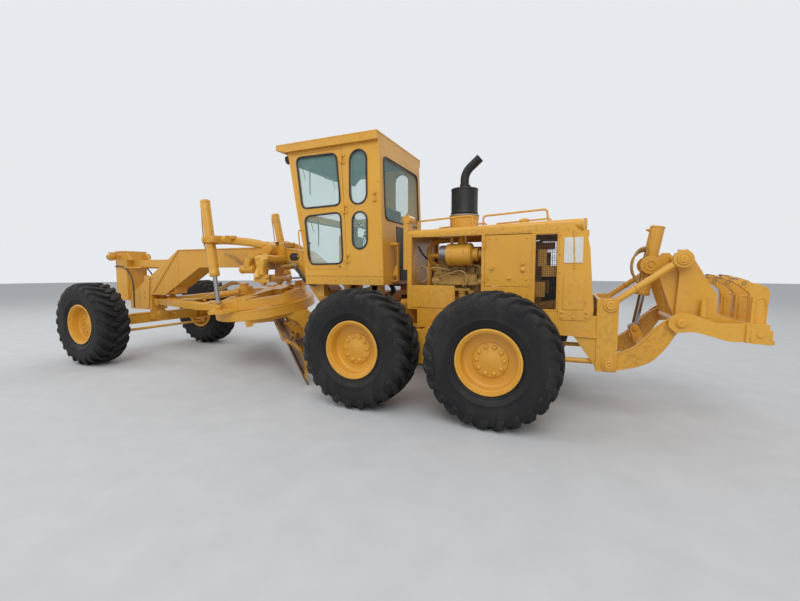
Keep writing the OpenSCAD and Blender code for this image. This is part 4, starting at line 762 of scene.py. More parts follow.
def studs(name, places, way, form, finish, body, smooth=35.0):
    """A piece made of one form set on several places."""
    mesh = copies_on(name, places, way, form, finish)
    return kept(name, mesh, finish, body, smooth=smooth)


for row in [
        (YELLOW, "yellow_paint", 0.006, ["rear_frame", "rear_axle", "front_frame", "front_axle",
         "knuckle_left", "knuckle_right", "tie_rod", "drawbar_ball", "drawbar",
         "circle", "tip_bracket", "ripper_arms", "ripper_links", "ripper_carriage"]),
        (YELLOW, "yellow_paint", 0.004, ["lift_collar_left", "lift_collar_right",
         "lift_barrel_left", "lift_barrel_right", "tip_barrel", "shift_barrel",
         "bend_barrel_left", "bend_barrel_right", "ripper_barrel", "side_door_left",
         "side_door_right", "side_panels", "cab_floor", "cab_walls", "cab_roof",
         "cab_door_left", "cab_door_right"]),
        (CHROME, "chrome_rod", 0.003, ["lift_rod_left", "lift_rod_right", "tip_rod", "shift_rod",
         "bend_rod_left", "bend_rod_right", "ripper_rod"]),
        (RUST, "worn_steel", 0.004, ["blade"])]:
    for node in row[3]:
        softened(node, row[0], row[2])


# Engine
# A six-cylinder diesel stands open behind the cab: block and head, rocker covers, the
# injection pump with its lines, filters, manifold and belts. A drum air cleaner hangs over it.
def engine_pieces():
    bm = bmesh.new()
    box(bm, (-0.555, -0.25, 1.10), (0.190, 0.25, 1.30))
    box(bm, (-0.54, -0.225, 1.30), (0.180, 0.225, 1.66))
    box(bm, (-0.54, -0.24, 1.655), (0.180, 0.24, 1.685))
    box(bm, (-0.53, -0.205, 1.685), (0.170, 0.205, 1.80))
    for i in range(3):
        x = -0.52 + i * 0.232
        slab(bm, [(x, 1.80), (x + 0.222, 1.80), (x + 0.222, 1.885), (x + 0.205, 1.905),
                  (x + 0.017, 1.905), (x, 1.885)], -0.13, 0.26)
    for i in range(6):
        x = -0.475 + i * 0.116
        disc(bm, (x, 0.225, 1.50), (0, 1, 0), 0.026, 0.012, 16)
        slab(bm, [(x - 0.035, 1.685), (x + 0.035, 1.685), (x + 0.028, 1.76), (x - 0.028, 1.76)],
             0.20, 0.045)
    box(bm, (-0.46, 0.235, 1.515), (0.08, 0.345, 1.595))
    box(bm, (-0.44, 0.25, 1.595), (0.06, 0.325, 1.655))
    disc(bm, (-0.46, 0.29, 1.555), (-1, 0, 0), 0.052, 0.07)
    disc(bm, (0.08, 0.29, 1.555), (1, 0, 0), 0.066, 0.10)
    disc(bm, (0.175, 0.0, 1.56), (1, 0, 0), 0.145, 0.09, 32)
    disc(bm, (0.175, 0.13, 1.74), (1, 0, 0), 0.06, 0.07)
    spun(bm, (-0.37, 0.29, 1.20), (0, 0, 1), [(0, 0), (0.04, 0.004), (0.052, 0.02), (0.052, 0.20),
         (0.060, 0.205), (0.060, 0.235), (0.03, 0.245), (0, 0.245)], 20)
    spun(bm, (-0.24, 0.29, 1.20), (0, 0, 1), [(0, 0), (0.04, 0.004), (0.052, 0.02), (0.052, 0.20),
         (0.060, 0.205), (0.060, 0.235), (0.03, 0.245), (0, 0.245)], 20)
    box(bm, (-0.36, 0.22, 1.435), (-0.09, 0.35, 1.47))
    box(bm, (0.02, 0.225, 1.34), (0.12, 0.33, 1.46))
    spun(bm, (-0.02, 0.30, 1.43), (1, 0, 0), [(0, 0), (0.05, 0.005), (0.06, 0.02), (0.06, 0.14),
         (0.045, 0.15), (0.045, 0.17), (0, 0.175)], 20)
    tube(bm, [(-0.50, -0.255, 1.74), (0.14, -0.255, 1.74)], 0.05, 14)
    for i in range(6):
        tube(bm, [(-0.475 + i * 0.116, -0.19, 1.74), (-0.475 + i * 0.116, -0.25, 1.74)], 0.03, 10)
    tube(bm, bent([(-0.18, -0.25, 1.76), (-0.18, -0.25, 1.95), (-0.18, 0.0, 2.0),
                   (-0.18, 0.0, 2.26)],
                  0.10), 0.055, 16)
    disc(bm, (-0.18, -0.27, 1.86), (0, 0, 1), 0.10, 0.07, 24)
    piece("engine_block", bm, ENGINE, "rear_frame", ["engine"], 0.006)

    bm = bmesh.new()
    for i in range(6):
        x = -0.40 + i * 0.082
        top = 1.80 + 0.012 * (i % 3)
        tube(bm, bent([(x, 0.285, 1.65), (x, 0.285, 1.71), (x - 0.02 - 0.008 * i, 0.30, top),
                       (-0.475 + i * 0.116, 0.27, top - 0.01), (-0.475 + i * 0.116, 0.215, 1.77)],
                      0.03, 4), 0.0045, 6)
    tube(bm, bent([(-0.30, 0.30, 1.44), (-0.30, 0.36, 1.50), (-0.25, 0.36, 1.66), (0.0, 0.34, 1.68),
                   (0.10, 0.30, 1.62)], 0.05), 0.008, 8)
    tube(bm, bent([(-0.15, 0.30, 1.44), (-0.12, 0.38, 1.50), (0.13, 0.37, 1.50),
                   (0.15, 0.31, 1.57)],
                  0.05), 0.008, 8)
    tube(bm, bent([(-0.50, 0.24, 1.40), (-0.52, 0.37, 1.50), (-0.52, 0.37, 1.75),
                   (-0.35, 0.33, 1.80)],
                  0.05), 0.010, 8)
    piece("engine_fuel_lines", bm, LINE, "rear_frame")

    bm = bmesh.new()
    tube(bm, bent([(0.275, 0.20, 1.42), (0.275, 0.20, 2.03), (0.20, 0.12, 2.12), (0.05, 0.0, 2.14)],
                  0.12), 0.033, 14)
    tube(bm, bent([(0.17, 0.16, 1.78), (0.235, 0.22, 1.84), (0.21, 0.30, 1.93), (0.03, 0.32, 1.90)],
                  0.08), 0.030, 12)
    tube(bm, bent([(-0.55, 0.10, 1.85), (-0.75, 0.10, 1.87), (-0.95, 0.20, 2.0),
                   (-1.40, 0.20, 2.02)],
                  0.12), 0.045, 14)
    tube(bm, bent([(-0.55, -0.05, 1.25), (-1.10, -0.05, 1.22), (-1.50, 0.10, 1.30)], 0.12), 0.05,
         14)
    piece("coolant_pipes", bm, YELLOW, "rear_frame")

    bm = bmesh.new()
    for a, b, sag, out, r in [
            ((-0.44, 0.30, 1.56), (-0.56, 0.44, 1.34), 0.10, (-0.05, 0.06, 0), 0.012),
            ((0.18, 0.10, 1.86), (0.40, 0.30, 2.05), 0.08, (0, 0.03, 0), 0.014),
            ((0.17, -0.2, 1.45), (0.36, -0.4, 1.80), 0.08, (0, -0.05, 0), 0.014)]:
        tube(bm, hanging(a, b, sag, out), r, 8)
    tube(bm, bent([(0.175 + 0.06, 0.0, 1.415), (0.235, 0.145, 1.56), (0.235, 0.19, 1.74),
                   (0.235, 0.13, 1.80), (0.235, -0.02, 1.70)], 0.03, 4), 0.007, 6, True)
    piece("engine_hoses", bm, HOSE, "rear_frame")

    bm = bmesh.new()
    for side in (1, -1):
        y = 0.38 * side
        spun(bm, (-0.02, y, 1.92), (-1, 0, 0),
             [(0, 0.03), (0.06, 0.03), (0.118, 0.034), (0.14, 0.042),
             (0.148, 0.060), (0.148, 0.33), (0.153, 0.335), (0.153, 0.352), (0.148, 0.357),
             (0.140, 0.372), (0.110, 0.383), (0.10, 0.39), (0.085, 0.392), (0.085, 0.43),
             (0.092, 0.432), (0.092, 0.455), (0.060, 0.465), (0.055, 0.505), (0, 0.508)], 36)
        if side < 0:
            continue
        for x in (-0.10, -0.29):
            spun(bm, (x, y, 1.92), (-1, 0, 0),
                 [(0.147, 0), (0.152, 0.0), (0.152, 0.03), (0.147, 0.03)], 36)
            box(bm, (x - 0.03, y - 0.02, 2.06), (x, y + 0.02, 2.17))
    tube(bm, bent([(-0.45, 0.30, 1.94), (-0.45, 0.02, 1.96), (-0.22, -0.20, 1.93)], 0.12), 0.05, 14)
    tube(bm, bent([(-0.24, 0.36, 2.0), (-0.24, 0.30, 2.19), (-0.24, 0.10, 2.30)], 0.06), 0.055, 14)
    piece("air_cleaner", bm, YELLOW, "rear_frame", (), 0.0)

    places, ways = [], []
    for i in range(6):
        for x in (-0.495, -0.455):
            places += [(x + i * 0.116, 0.240, 1.66), (x + i * 0.116, -0.240, 1.66)]
            ways += [(0, 1, 0), (0, -1, 0)]
    for i in range(9):
        for z in (1.12, 1.28):
            places.append((-0.53 + i * 0.085, 0.25, z))
            ways.append((0, 1, 0))
    for i in range(8):
        a = math.pi * i / 4
        places.append((0.265, 0.11 * math.cos(a), 1.56 + 0.11 * math.sin(a)))
        ways.append((1, 0, 0))
    for x in (-0.43, -0.33, -0.23, -0.13, -0.03, 0.05):
        places += [(x, 0.345, 1.53), (x, 0.345, 1.58)]
        ways += [(0, 1, 0)] * 2
    studs("engine_bolts", places, ways, nut_form(0.011, 0.012, False), ENGINE, "rear_frame")


engine_pieces()


# Exhaust
# A round black silencer on a low collar, with rolled end seams. Its stack leans back in one
# smooth bend and ends in an open cut.
def exhaust_pieces():
    bm = bmesh.new()
    spun(bm, (-0.18, 0, 2.48), (0, 0, 1), [(0, 0), (0.155, 0), (0.165, 0.006), (0.165, 0.018),
         (0.178, 0.020), (0.190, 0.026), (0.192, 0.036), (0.186, 0.044), (0.185, 0.050),
         (0.185, 0.345), (0.190, 0.350), (0.190, 0.364), (0.182, 0.372), (0.100, 0.378),
         (0.070, 0.380), (0.066, 0.386), (0, 0.386)], 48)
    path = bent([(-0.18, 0, 2.86), (-0.18, 0, 3.08), (-0.395, 0, 3.262)], 0.17, 9)
    outer = 0.060
    rows = []
    spots = [Vector(p) for p in path]
    for i, p in enumerate(spots):
        way = (spots[min(i + 1, len(spots) - 1)] - spots[max(i - 1, 0)]).normalized()
        rows.append((p, way, Vector((0, 1, 0)).cross(way)))
    loops = []
    for r, order in ((outer, rows), (outer - 0.006, rows[::-1])):
        for p, way, up in order:
            loops.append([bm.verts.new(p + r * (math.cos(2 * math.pi * k / 28) * Vector((0, 1, 0))
                          + math.sin(2 * math.pi * k / 28) * up)) for k in range(28)])
    for here, there in zip(loops, loops[1:] + loops[:1]):
        for k in range(28):
            j = (k + 1) % 28
            bm.faces.new((here[k], here[j], there[j], there[k]))
    spun(bm, (-0.18, 0, 2.862), (0, 0, 1),
         [(0.059, 0), (0.068, 0.002), (0.068, 0.05), (0.0595, 0.052)], 28)
    box(bm, (-0.265, -0.012, 2.885), (-0.235, 0.012, 2.90))
    piece("silencer_and_stack", bm, BLACK, "rear_frame", ["exhaust"], smooth=35.0)


exhaust_pieces()


# Hood and its rails
# A long folded sheet with rounded edges that rises slightly to the rear, a collar round the
# silencer's foot, a filler cap and two bent handrails on each side.
ENCLOSURE_HALF = 0.600


def hood_top(x):
    return 2.244 + (0.443 - x) * 0.059 / 2.188


def hood_pieces():
    bm = bmesh.new()
    rows = []
    stations = [0.443, 0.438, 0.40, -1.70, -1.738, -1.745]
    for i, x in enumerate(stations):
        trim = (0.008, 0.0, 0.0, 0.0, 0.0, 0.008)[i]
        top, half, low = hood_top(x) - trim, ENCLOSURE_HALF - trim, 2.165
        outline = [(half - 0.012, low), (half, low), (half, top - 0.045)]
        for k in range(1, 7):
            a = math.radians(15 * k)
            outline.append((half - 0.045 + 0.045 * math.cos(a), top - 0.045 + 0.045 * math.sin(a)))
        shell = outline + [(-y, z) for y, z in outline[::-1]]
        inner = [(-(half - 0.012), low + 0.001), (-(half - 0.012), top - 0.03),
                 (half - 0.012, top - 0.03), (half - 0.012, low + 0.001)]
        rows.append([bm.verts.new((x, y, z)) for y, z in shell[1:-1] + inner])
    for here, there in zip(rows, rows[1:]):
        n = len(here)
        for k in range(n):
            j = (k + 1) % n
            bm.faces.new((here[k], here[j], there[j], there[k]))
    bm.faces.new(rows[0])
    bm.faces.new(rows[-1])
    box(bm, (0.42, -0.585, 2.167), (0.438, 0.585, 2.225))
    box(bm, (-1.742, -0.585, 2.167), (-1.72, 0.585, 2.28))
    for y in (0.575, -0.597):
        box(bm, (-1.70, y, 2.150), (0.440, y + 0.022, 2.172))
    piece("hood_sheet", bm, YELLOW, "rear_frame", ["hood"], smooth=50.0)

    bm = bmesh.new()
    spun(bm, (-0.18, 0, hood_top(-0.18) - 0.004), (0, 0, 1), [(0.15, 0), (0.225, 0), (0.225, 0.012),
         (0.205, 0.016), (0.200, 0.022), (0.200, 0.172), (0.206, 0.176), (0.206, 0.196),
         (0.200, 0.200), (0.200, 0.226), (0.192, 0.230), (0.15, 0.230)], 48)
    spun(bm, (-1.045, 0.42, hood_top(-1.045) - 0.004), (0, 0, 1),
         [(0, 0), (0.075, 0), (0.075, 0.012),
         (0.058, 0.016), (0.056, 0.026), (0.062, 0.030), (0.062, 0.050), (0.045, 0.064),
         (0.02, 0.070), (0, 0.070)], 28)
    spun(bm, (-1.52, 0.0, hood_top(-1.52) - 0.004), (0, 0, 1), [(0, 0), (0.07, 0), (0.07, 0.02),
         (0.055, 0.03), (0.03, 0.036), (0, 0.036)], 28)
    for side in (1, -1):
        for front, rear in [(0.345, -0.42), (-0.545, -1.325)]:
            lift = 0.150
            path = bent([(front, 0.45 * side, hood_top(front) - 0.01),
                         (front, 0.45 * side, hood_top(front) + lift - 0.02),
                         (rear + 0.02, 0.45 * side, hood_top(rear) + lift),
                         (rear, 0.45 * side, hood_top(rear) - 0.01)], 0.035)
            tube(bm, path, 0.0125, 10)
            for x in (front, rear):
                disc(bm, (x, 0.45 * side, hood_top(x) - 0.003), (0, 0, 1), 0.034, 0.010, 18)
    piece("hood_rails_and_caps", bm, YELLOW, "rear_frame", smooth=35.0)
    bm = bmesh.new()
    spun(bm, (-0.18, 0, 2.468), (0, 0, 1), [(0.15, 0), (0.207, 0), (0.210, 0.004), (0.210, 0.014),
         (0.207, 0.018), (0.15, 0.018)], 48)
    piece("silencer_clamp", bm, GREY, "rear_frame", smooth=35.0)


hood_pieces()


# Enclosure sides
# Posts, lower panels, a latched side door, woven wire in front of the radiator, and the
# radiator's side plates with a pressed arch, rivets, bolts, a work lamp and a blank plate.
def enclosure_pieces():
    bm = bmesh.new()
    for side in (1, -1):
        def y_at(out):
            return side * (ENCLOSURE_HALF + out)

        def on_side(points, out, deep):
            side_slab(bm, points, side, ENCLOSURE_HALF + out, ENCLOSURE_HALF + out + deep)

        arch = [(-1.517, 1.26)]
        for k in range(0, 13):
            a = math.pi * k / 12
            arch.append((-1.6235 + 0.1065 * math.cos(a), 1.61 + 0.105 * math.sin(a)))
        arch.append((-1.730, 1.26))
        on_side(arch, -0.002, 0.016)
        on_side([(-1.456, 1.19), (-1.462, 1.19), (-1.462, 2.165), (-1.456, 2.165)], -0.001, 0.006)
        on_side([(0.375, 1.215), (-0.165, 1.215), (-0.185, 1.24), (-0.217, 1.512), (0.375, 1.512)],
                -0.002, 0.010)
        on_side([(-0.604, 1.195), (-1.156, 1.195), (-1.156, 1.503), (-0.604, 1.503)], -0.001, 0.006)
        for a, b in [((-1.452, 1.238), (-1.158, 1.238)), ((-1.452, 2.150), (-1.158, 2.150))]:
            box(bm, (a[0], y_at(-0.020), a[1] - 0.010), (b[0], y_at(0.004), b[1] + 0.010))
        for x in (-1.450, -1.162):
            box(bm, (x - 0.008, y_at(-0.020), 1.235), (x + 0.008, y_at(0.004), 2.155))
        for x, z, w, h in [(-1.27, 1.86, 0.10, 0.20), (-1.35, 1.70, 0.16, 0.13),
                           (-1.25, 1.48, 0.12, 0.18)]:
            box(bm, (x - w / 2, y_at(-0.16), z - h / 2), (x + w / 2, y_at(-0.10), z + h / 2))
    piece("enclosure_plates", bm, YELLOW, "rear_frame", (), 0.003)

    wires, slim = [], []
    for side in (1, -1):
        for i in range(12):
            wires.append((-1.437 + i * 0.0245, side * 0.592, 1.692))
        for i in range(38):
            slim.append((-1.302, side * 0.596, 1.250 + i * 0.0240))
    upright, level = bmesh.new(), bmesh.new()
    box(upright, (-0.0019, -0.453, -0.0019), (0.0019, 0.453, 0.0019))
    box(level, (-0.141, -0.0019, -0.0019), (0.141, 0.0019, 0.0019))
    bmesh.ops.rotate(upright, matrix=Matrix.Rotation(math.pi / 2, 3, "X"), verts=upright.verts[:])
    parts = []
    for places, form in ((wires, upright), (slim, level)):
        parts.append(copies_on("wires", places, (0, 0, 1), form, DARK))
    bm = bmesh.new()
    box(bm, (-1.70, -0.50, 1.16), (-1.56, 0.50, 2.15))
    bmesh.ops.translate(bm, vec=MACHINE, verts=bm.verts[:])
    fins = mesh_of(bm, "core")
    kept("wire_screens_and_core", joined(parts + [fins]), DARK, "rear_frame",
         ["grilles"])

    rivets, bolts = [], []
    for side in (1, -1):
        rivets += [(-1.470, side * 0.604, z) for z in (2.12, 1.903, 1.692, 1.455, 1.24)]
        rivets += [(x, side * 0.606, z) for x in (-0.655, -0.745, -1.10) for z in (1.597, 2.10)]
        bolts += [(x, side * 0.601, z) for x,
                  z in [(-1.568, 1.336), (-1.758, 1.342), (-1.49, 1.163 + 0.04),
                  (-1.628, 1.21), (-1.764, 1.175 + 0.04), (0.36, 1.24), (0.36, 1.49), (-0.15, 1.49),
                  (-0.66, 1.22), (-1.10, 1.22)]]
    for places, size, label in ((rivets, 0.009, "rivets"), (bolts, 0.014, "panel_bolts")):
        ways = [(0, math.copysign(1, p[1]), 0) for p in places]
        studs(label, places, ways, nut_form(size, size * 0.8, label == "rivets"), YELLOW,
              "rear_frame")

    bm = bmesh.new()
    for side in (1, -1):
        mid = Vector((-1.64, side * 0.56, 2.235))
        spun(bm, mid, (-1, 0.22 * side, -0.10),
             [(0, -0.03), (0.035, -0.02), (0.05, 0.0), (0.062, 0.03),
             (0.066, 0.06), (0.072, 0.065), (0.072, 0.082), (0.064, 0.084), (0.064, 0.07),
             (0, 0.068)], 28)
        tube(bm, [(-1.61, side * 0.612, 2.16), (-1.628, side * 0.612, 1.744)], 0.0065, 8)
        disc(bm, (-1.628, side * 0.600, 1.744), (0, side, 0), 0.012, 0.02, 12)
    piece("work_lamps", bm, YELLOW, "rear_frame", smooth=40.0)
    bm = bmesh.new()
    for side in (1, -1):
        mid = Vector((-1.64, side * 0.56, 2.235)) + 0.072 * Vector((-1, 0.22 * side,
                                                                    -0.10)).normalized()
        spun(bm, mid, (-1, 0.22 * side, -0.10),
             [(0, 0), (0.062, 0), (0.062, 0.004), (0.03, 0.010), (0, 0.011)], 28)
    piece("work_lamp_lenses", bm, PALE, "rear_frame", smooth=40.0)
    bm = bmesh.new()
    for side in (1, -1):
        box(bm, (-1.712, side * 0.599, 1.796), (-1.513, side * 0.609, 2.086))
    piece("blank_plates", bm, PALE, "rear_frame", (), 0.001)


enclosure_pieces()


# Side door's latches
# Two round latches stand on each door of the enclosure, one large and one small.
for label, side in (("left", 1), ("right", -1)):
    bm = bmesh.new()
    for x, z, r in ((-1.060, 1.715, 0.030), (-0.900, 1.612, 0.020)):
        spun(bm, (x, side * 0.598, z), (0, side, 0), [(0, 0), (r, 0), (r, 0.008), (r * 0.72, 0.012),
             (r * 0.72, 0.022), (r * 0.3, 0.028), (0, 0.028)], 22)
    piece("door_latches_" + label, bm, YELLOW, "side_door_" + label)


# Cab
# A boxy cab of folded sheet with rounded windows in black rubber, two doors, a sloping front
# and a roof that juts out. Its panes are tinted green, and its ceiling is lined in dark cloth.
SEAL = finish_of("window_rubber", (0.012, 0.012, 0.013), (0.022, 0.021, 0.020), dust_amount=0.25,
                 wear=0.05, clouds=9.0, smooth=0.45, rough=0.8, bump=0.15)
LINING = finish_of("cab_lining", (0.045, 0.042, 0.038), (0.060, 0.056, 0.050), dust_amount=0.15,
                   wear=0.0, clouds=5.0, grain=260.0, smooth=0.85, rough=0.95, bump=0.4)


def glass_finish():
    made = bpy.data.materials.new("tinted_glass")
    made.use_nodes = True
    tree = made.node_tree
    shader = tree.nodes["Principled BSDF"]
    shader.inputs["Base Color"].default_value = (0.42, 0.72, 0.68, 1.0)
    shader.inputs["Roughness"].default_value = 0.03
    shader.inputs["IOR"].default_value = 1.45
    shader.inputs["Transmission Weight"].default_value = 0.0
    shader.inputs["Alpha"].default_value = 0.17
    place = tree.nodes.new("ShaderNodeTexCoord")
    smear = tree.nodes.new("ShaderNodeTexNoise")
    smear.inputs["Scale"].default_value = 3.5
    smear.inputs["Detail"].default_value = 7.0
    level = tree.nodes.new("ShaderNodeMapRange")
    level.inputs["From Min"].default_value = 0.45
    level.inputs["From Max"].default_value = 0.75
    level.inputs["To Min"].default_value = 0.03
    level.inputs["To Max"].default_value = 0.16
    tree.links.new(place.outputs["Object"], smear.inputs["Vector"])
    tree.links.new(smear.outputs["Fac"], level.inputs["Value"])
    tree.links.new(level.outputs[0], shader.inputs["Roughness"])
    return made


GLASS = glass_finish()
HALF = 0.75
DOOR_PANES = [[(2.150, 3.355), (1.461, 3.342), (1.397, 2.628), (2.055, 2.615)],
              [(2.015, 2.500), (1.399, 2.525), (1.368, 1.810), (1.935, 1.799)]]


def taken_round(points, cut, steps=6):
    """An outline with its corners taken round."""
    out = []
    for i, b in enumerate(points):
        a, c = points[i - 1], points[(i + 1) % len(points)]
        b, a, c = Vector(b), Vector(a), Vector(c)
        start, end = b + (a - b).normalized() * cut, b + (c - b).normalized() * cut
        for k in range(steps + 1):
            t = k / steps
            out.append(tuple(start * (1 - t) ** 2 + b * 2 * t * (1 - t) + end * t ** 2))
    return out


def pill(x0, x1, z0, z1, steps=10):
    """An upright opening with round ends."""
    r, mid = (x1 - x0) / 2, (x0 + x1) / 2
    top = [(mid + r * math.cos(math.pi * k / steps), z1 - r + r * math.sin(math.pi * k / steps))
           for k in range(steps + 1)]
    return top + [(mid - r * math.cos(math.pi * k / steps),
                   z0 + r - r * math.sin(math.pi * k / steps))
                  for k in range(steps + 1)]


SIDE_PANES = [pill(0.980, 1.244, 2.621, 3.346), pill(0.979, 1.207, 2.009, 2.514)]
REAR_PANE = taken_round([(-0.63, 2.41), (0.63, 2.41), (0.63, 3.26), (-0.63, 3.26)], 0.095)
FRONT_PANES = [taken_round([(-0.65, 2.56), (0.65, 2.56), (0.65, 3.35), (-0.65, 3.35)], 0.095),
               taken_round([(-0.65, 1.78), (0.65, 1.78), (0.65, 2.46), (-0.65, 2.46)], 0.095)]


def front_x(z):
    """The cab's front face at a height, as it leans forward in three steps."""
    line = [(1.640, 2.022), (2.070, 2.053), (2.477, 2.136), (3.440, 2.299)]
    for (z0, x0), (z1, x1) in zip(line, line[1:]):
        if z <= z1 or z1 == 3.440:
            return x0 + (x1 - x0) * (z - z0) / (z1 - z0)


def rear_x(z):
    return 0.731 + (0.797 - 0.731) * (z - 1.640) / 1.800


def seal(bm, loop, r=0.0135):
    """Rubber round a window: a rounded bead along its edge."""
    tube(bm, loop, r, 8, closed=True)


def cab_trim():
    bm = bmesh.new()
    for side in (1, -1):
        for pane in SIDE_PANES:
            seal(bm, [(x, side * (HALF + 0.001), z) for x, z in pane])
    seal(bm, [(rear_x(z) - 0.001, y, z) for y, z in REAR_PANE])
    for pane in FRONT_PANES:
        seal(bm, [(front_x(z) + 0.001, y, z) for y, z in pane])
    piece("cab_window_seals", bm, SEAL, "front_frame")
    for label, side in (("left", 1), ("right", -1)):
        bm = bmesh.new()
        for pane in DOOR_PANES:
            seal(bm, [(x, side * (HALF + 0.001), z) for x, z in taken_round(pane, 0.095)])
        piece("door_window_seals_" + label, bm, SEAL, "cab_door_" + label)
        bm = bmesh.new()
        grip = [(0.0, 2.11), (0.045, 2.06), (0.045, 1.94), (0.0, 1.89)]
        tube(bm, bent([(1.935, side * (HALF + out), z) for out, z in grip], 0.02), 0.008, 8)
        for z in (2.11, 1.89):
            disc(bm, (1.935, side * (HALF - 0.001), z), (0, side, 0), 0.016, 0.006, 14)
        disc(bm, (1.42, side * (HALF - 0.001), 1.765), (0, side, 0), 0.012, 0.01, 12)
        piece("door_handle_" + label, bm, DARK, "cab_door_" + label)


cab_trim()


def cab_panes():
    """The fixed panes and the doors' panes, each a thin sheet in its rubber."""
    bm = bmesh.new()
    for side in (1, -1):
        for pane in SIDE_PANES:
            side_slab(bm, pane, side, HALF - 0.022, HALF - 0.016)
    for pane, spot, lean in [(REAR_PANE, rear_x, 1)] + [(p, front_x, -1) for p in FRONT_PANES]:
        near = [bm.verts.new((spot(z) + 0.016 * lean, y, z)) for y, z in pane]
        far = [bm.verts.new((spot(z) + 0.022 * lean, y, z)) for y, z in pane]
        mid = [sum((Vector(v.co) for v in ring), Vector()) / len(ring) for ring in (near, far)]
        hubs = [bm.verts.new(m) for m in mid]
        for i in range(len(pane)):
            j = (i + 1) % len(pane)
            bm.faces.new((near[i], near[j], far[j], far[i]))
            bm.faces.new((hubs[0], near[j], near[i]))
            bm.faces.new((hubs[1], far[i], far[j]))
    piece("cab_panes", bm, GLASS, "front_frame", ["cab_glass"], smooth=20.0)
    for label, side in (("left", 1), ("right", -1)):
        bm = bmesh.new()
        for pane in DOOR_PANES:
            side_slab(bm, taken_round(pane, 0.095), side, HALF - 0.022, HALF - 0.016)
        piece("door_panes_" + label, bm, GLASS, "cab_door_" + label,
              ["door_glass_" + label], smooth=20.0)


cab_panes()


def cab_inside():
    """Ceiling lining, console, dash, wheel, levers, wipers and what hangs outside."""
    bm = bmesh.new()
    slab(bm, [(0.85, 3.40), (2.24, 3.40), (2.24, 3.438), (0.85, 3.438)], -0.69, 1.38)
    slab(bm, [(1.98, 3.20), (2.235, 3.26), (2.250, 3.40), (1.80, 3.40)], -0.66, 1.32)
    box(bm, (0.80, -0.60, 1.641), (1.98, 0.60, 1.652))
    piece("cab_lining", bm, LINING, "front_frame", (), 0.004)

    bm = bmesh.new()
    slab(bm, [(1.60, 1.645), (1.80, 1.645), (1.78, 2.16), (1.70, 2.26), (1.60, 2.22), (1.57, 2.12)],
         -0.165, 0.33)
    tube(bm, [(1.66, 0, 2.17), (1.562, 0, 2.425)], 0.024, 14)
    for x, y, h in [(1.50, 0.14, 0.55), (1.50, 0.20, 0.57), (1.50, 0.26, 0.55), (1.50, -0.14, 0.55),
                    (1.50, -0.20, 0.57), (1.50, -0.26, 0.55), (1.46, -0.40, 0.50)]:
        tube(bm, bent([(x + 0.09, y, 1.66), (x + 0.06, y, 1.66 + h * 0.8), (x, y, 1.66 + h + 0.12)],
                      0.1),
             0.008, 8)
        spun(bm, (x, y, 1.66 + h + 0.10), (-0.2, 0, 1), [(0, 0), (0.012, 0.004), (0.019, 0.02),
             (0.016, 0.038), (0, 0.045)], 12)
    box(bm, (1.50, 0.10, 1.65), (1.64, 0.30, 1.98))
    box(bm, (1.50, -0.30, 1.65), (1.64, -0.10, 1.98))
    box(bm, (1.72, 0.20, 1.652), (1.86, 0.28, 1.70))
    box(bm, (1.72, -0.28, 1.652), (1.86, -0.20, 1.70))
    piece("steering_console", bm, DARK, "front_frame", (), 0.005)
    bm = bmesh.new()
    mid, way = Vector((1.553, 0, 2.438)), Vector((-0.376, 0, 0.927))
    u, v = Vector((0, 1, 0)), Vector((0, 1, 0)).cross(way)
    ring = [mid + way * 0.012 + 0.2 * (math.cos(2 * math.pi * k / 40) * u
            + math.sin(2 * math.pi * k / 40) * v) for k in range(40)]
    tube(bm, ring, 0.012, 10, closed=True)
    for k in range(3):
        a = 2 * math.pi * k / 3
        tube(bm, [mid, mid + way * 0.01 + 0.196 * (math.cos(a) * u + math.sin(a) * v)], 0.008, 8)
    disc(bm, mid - way * 0.015, way, 0.04, 0.04, 20)
    piece("steering_wheel", bm, SEAL, "front_frame")

    bm = bmesh.new()
    for y in (0.42, -0.42):
        for z, turn in ((3.36, -1), (2.50, -1)):
            foot = Vector((front_x(z) + 0.012, y, z))
            tip = foot + Vector((-0.055, turn * 0.10, -0.46 if z > 3 else -0.40))
            tip.x = front_x(tip.z) + 0.022
            disc(bm, foot - Vector((0.02, 0, 0)), (1, 0, 0), 0.022, 0.035, 14)
            tube(bm, [foot + Vector((0.01, 0, 0)), foot.lerp(tip, 0.5) + Vector((0.012, 0, 0))],
                 0.005, 6)
            box(bm, (tip.x - 0.006, tip.y - 0.006, tip.z),
                (tip.x + 0.006, tip.y + 0.006, tip.z + 0.40))
    for side in (1, -1):
        spun(bm, (2.365, side * 0.62, 3.385), (1, 0, -0.12),
             [(0, -0.04), (0.04, -0.03), (0.055, 0.0),
             (0.062, 0.03), (0.062, 0.05), (0.055, 0.05), (0.055, 0.04), (0, 0.04)], 24)
        tube(bm, [(2.36, side * 0.62, 3.46), (2.36, side * 0.62, 3.38)], 0.010, 8)
    piece("wipers_and_roof_lamps", bm, DARK, "front_frame")
    bm = bmesh.new()
    for side in (1, -1):
        spun(bm, (2.405, side * 0.62, 3.380), (1, 0, -0.12),
             [(0, 0), (0.054, 0), (0.05, 0.006), (0, 0.012)], 24)
    # The mirror's face is a pale box: a painted reflection.
    box(bm, (2.05, -0.14, 3.19), (2.065, 0.14, 3.26))
    piece("lamp_lenses_and_mirror", bm, PALE, "front_frame")
    bm = bmesh.new()
    tube(bm, [(2.058, 0, 3.225), (2.10, 0, 3.33)], 0.006, 8)
    box(bm, (2.062, -0.145, 3.185), (2.072, 0.145, 3.265))
    piece("mirror_back", bm, DARK, "front_frame", (), 0.002)


cab_inside()


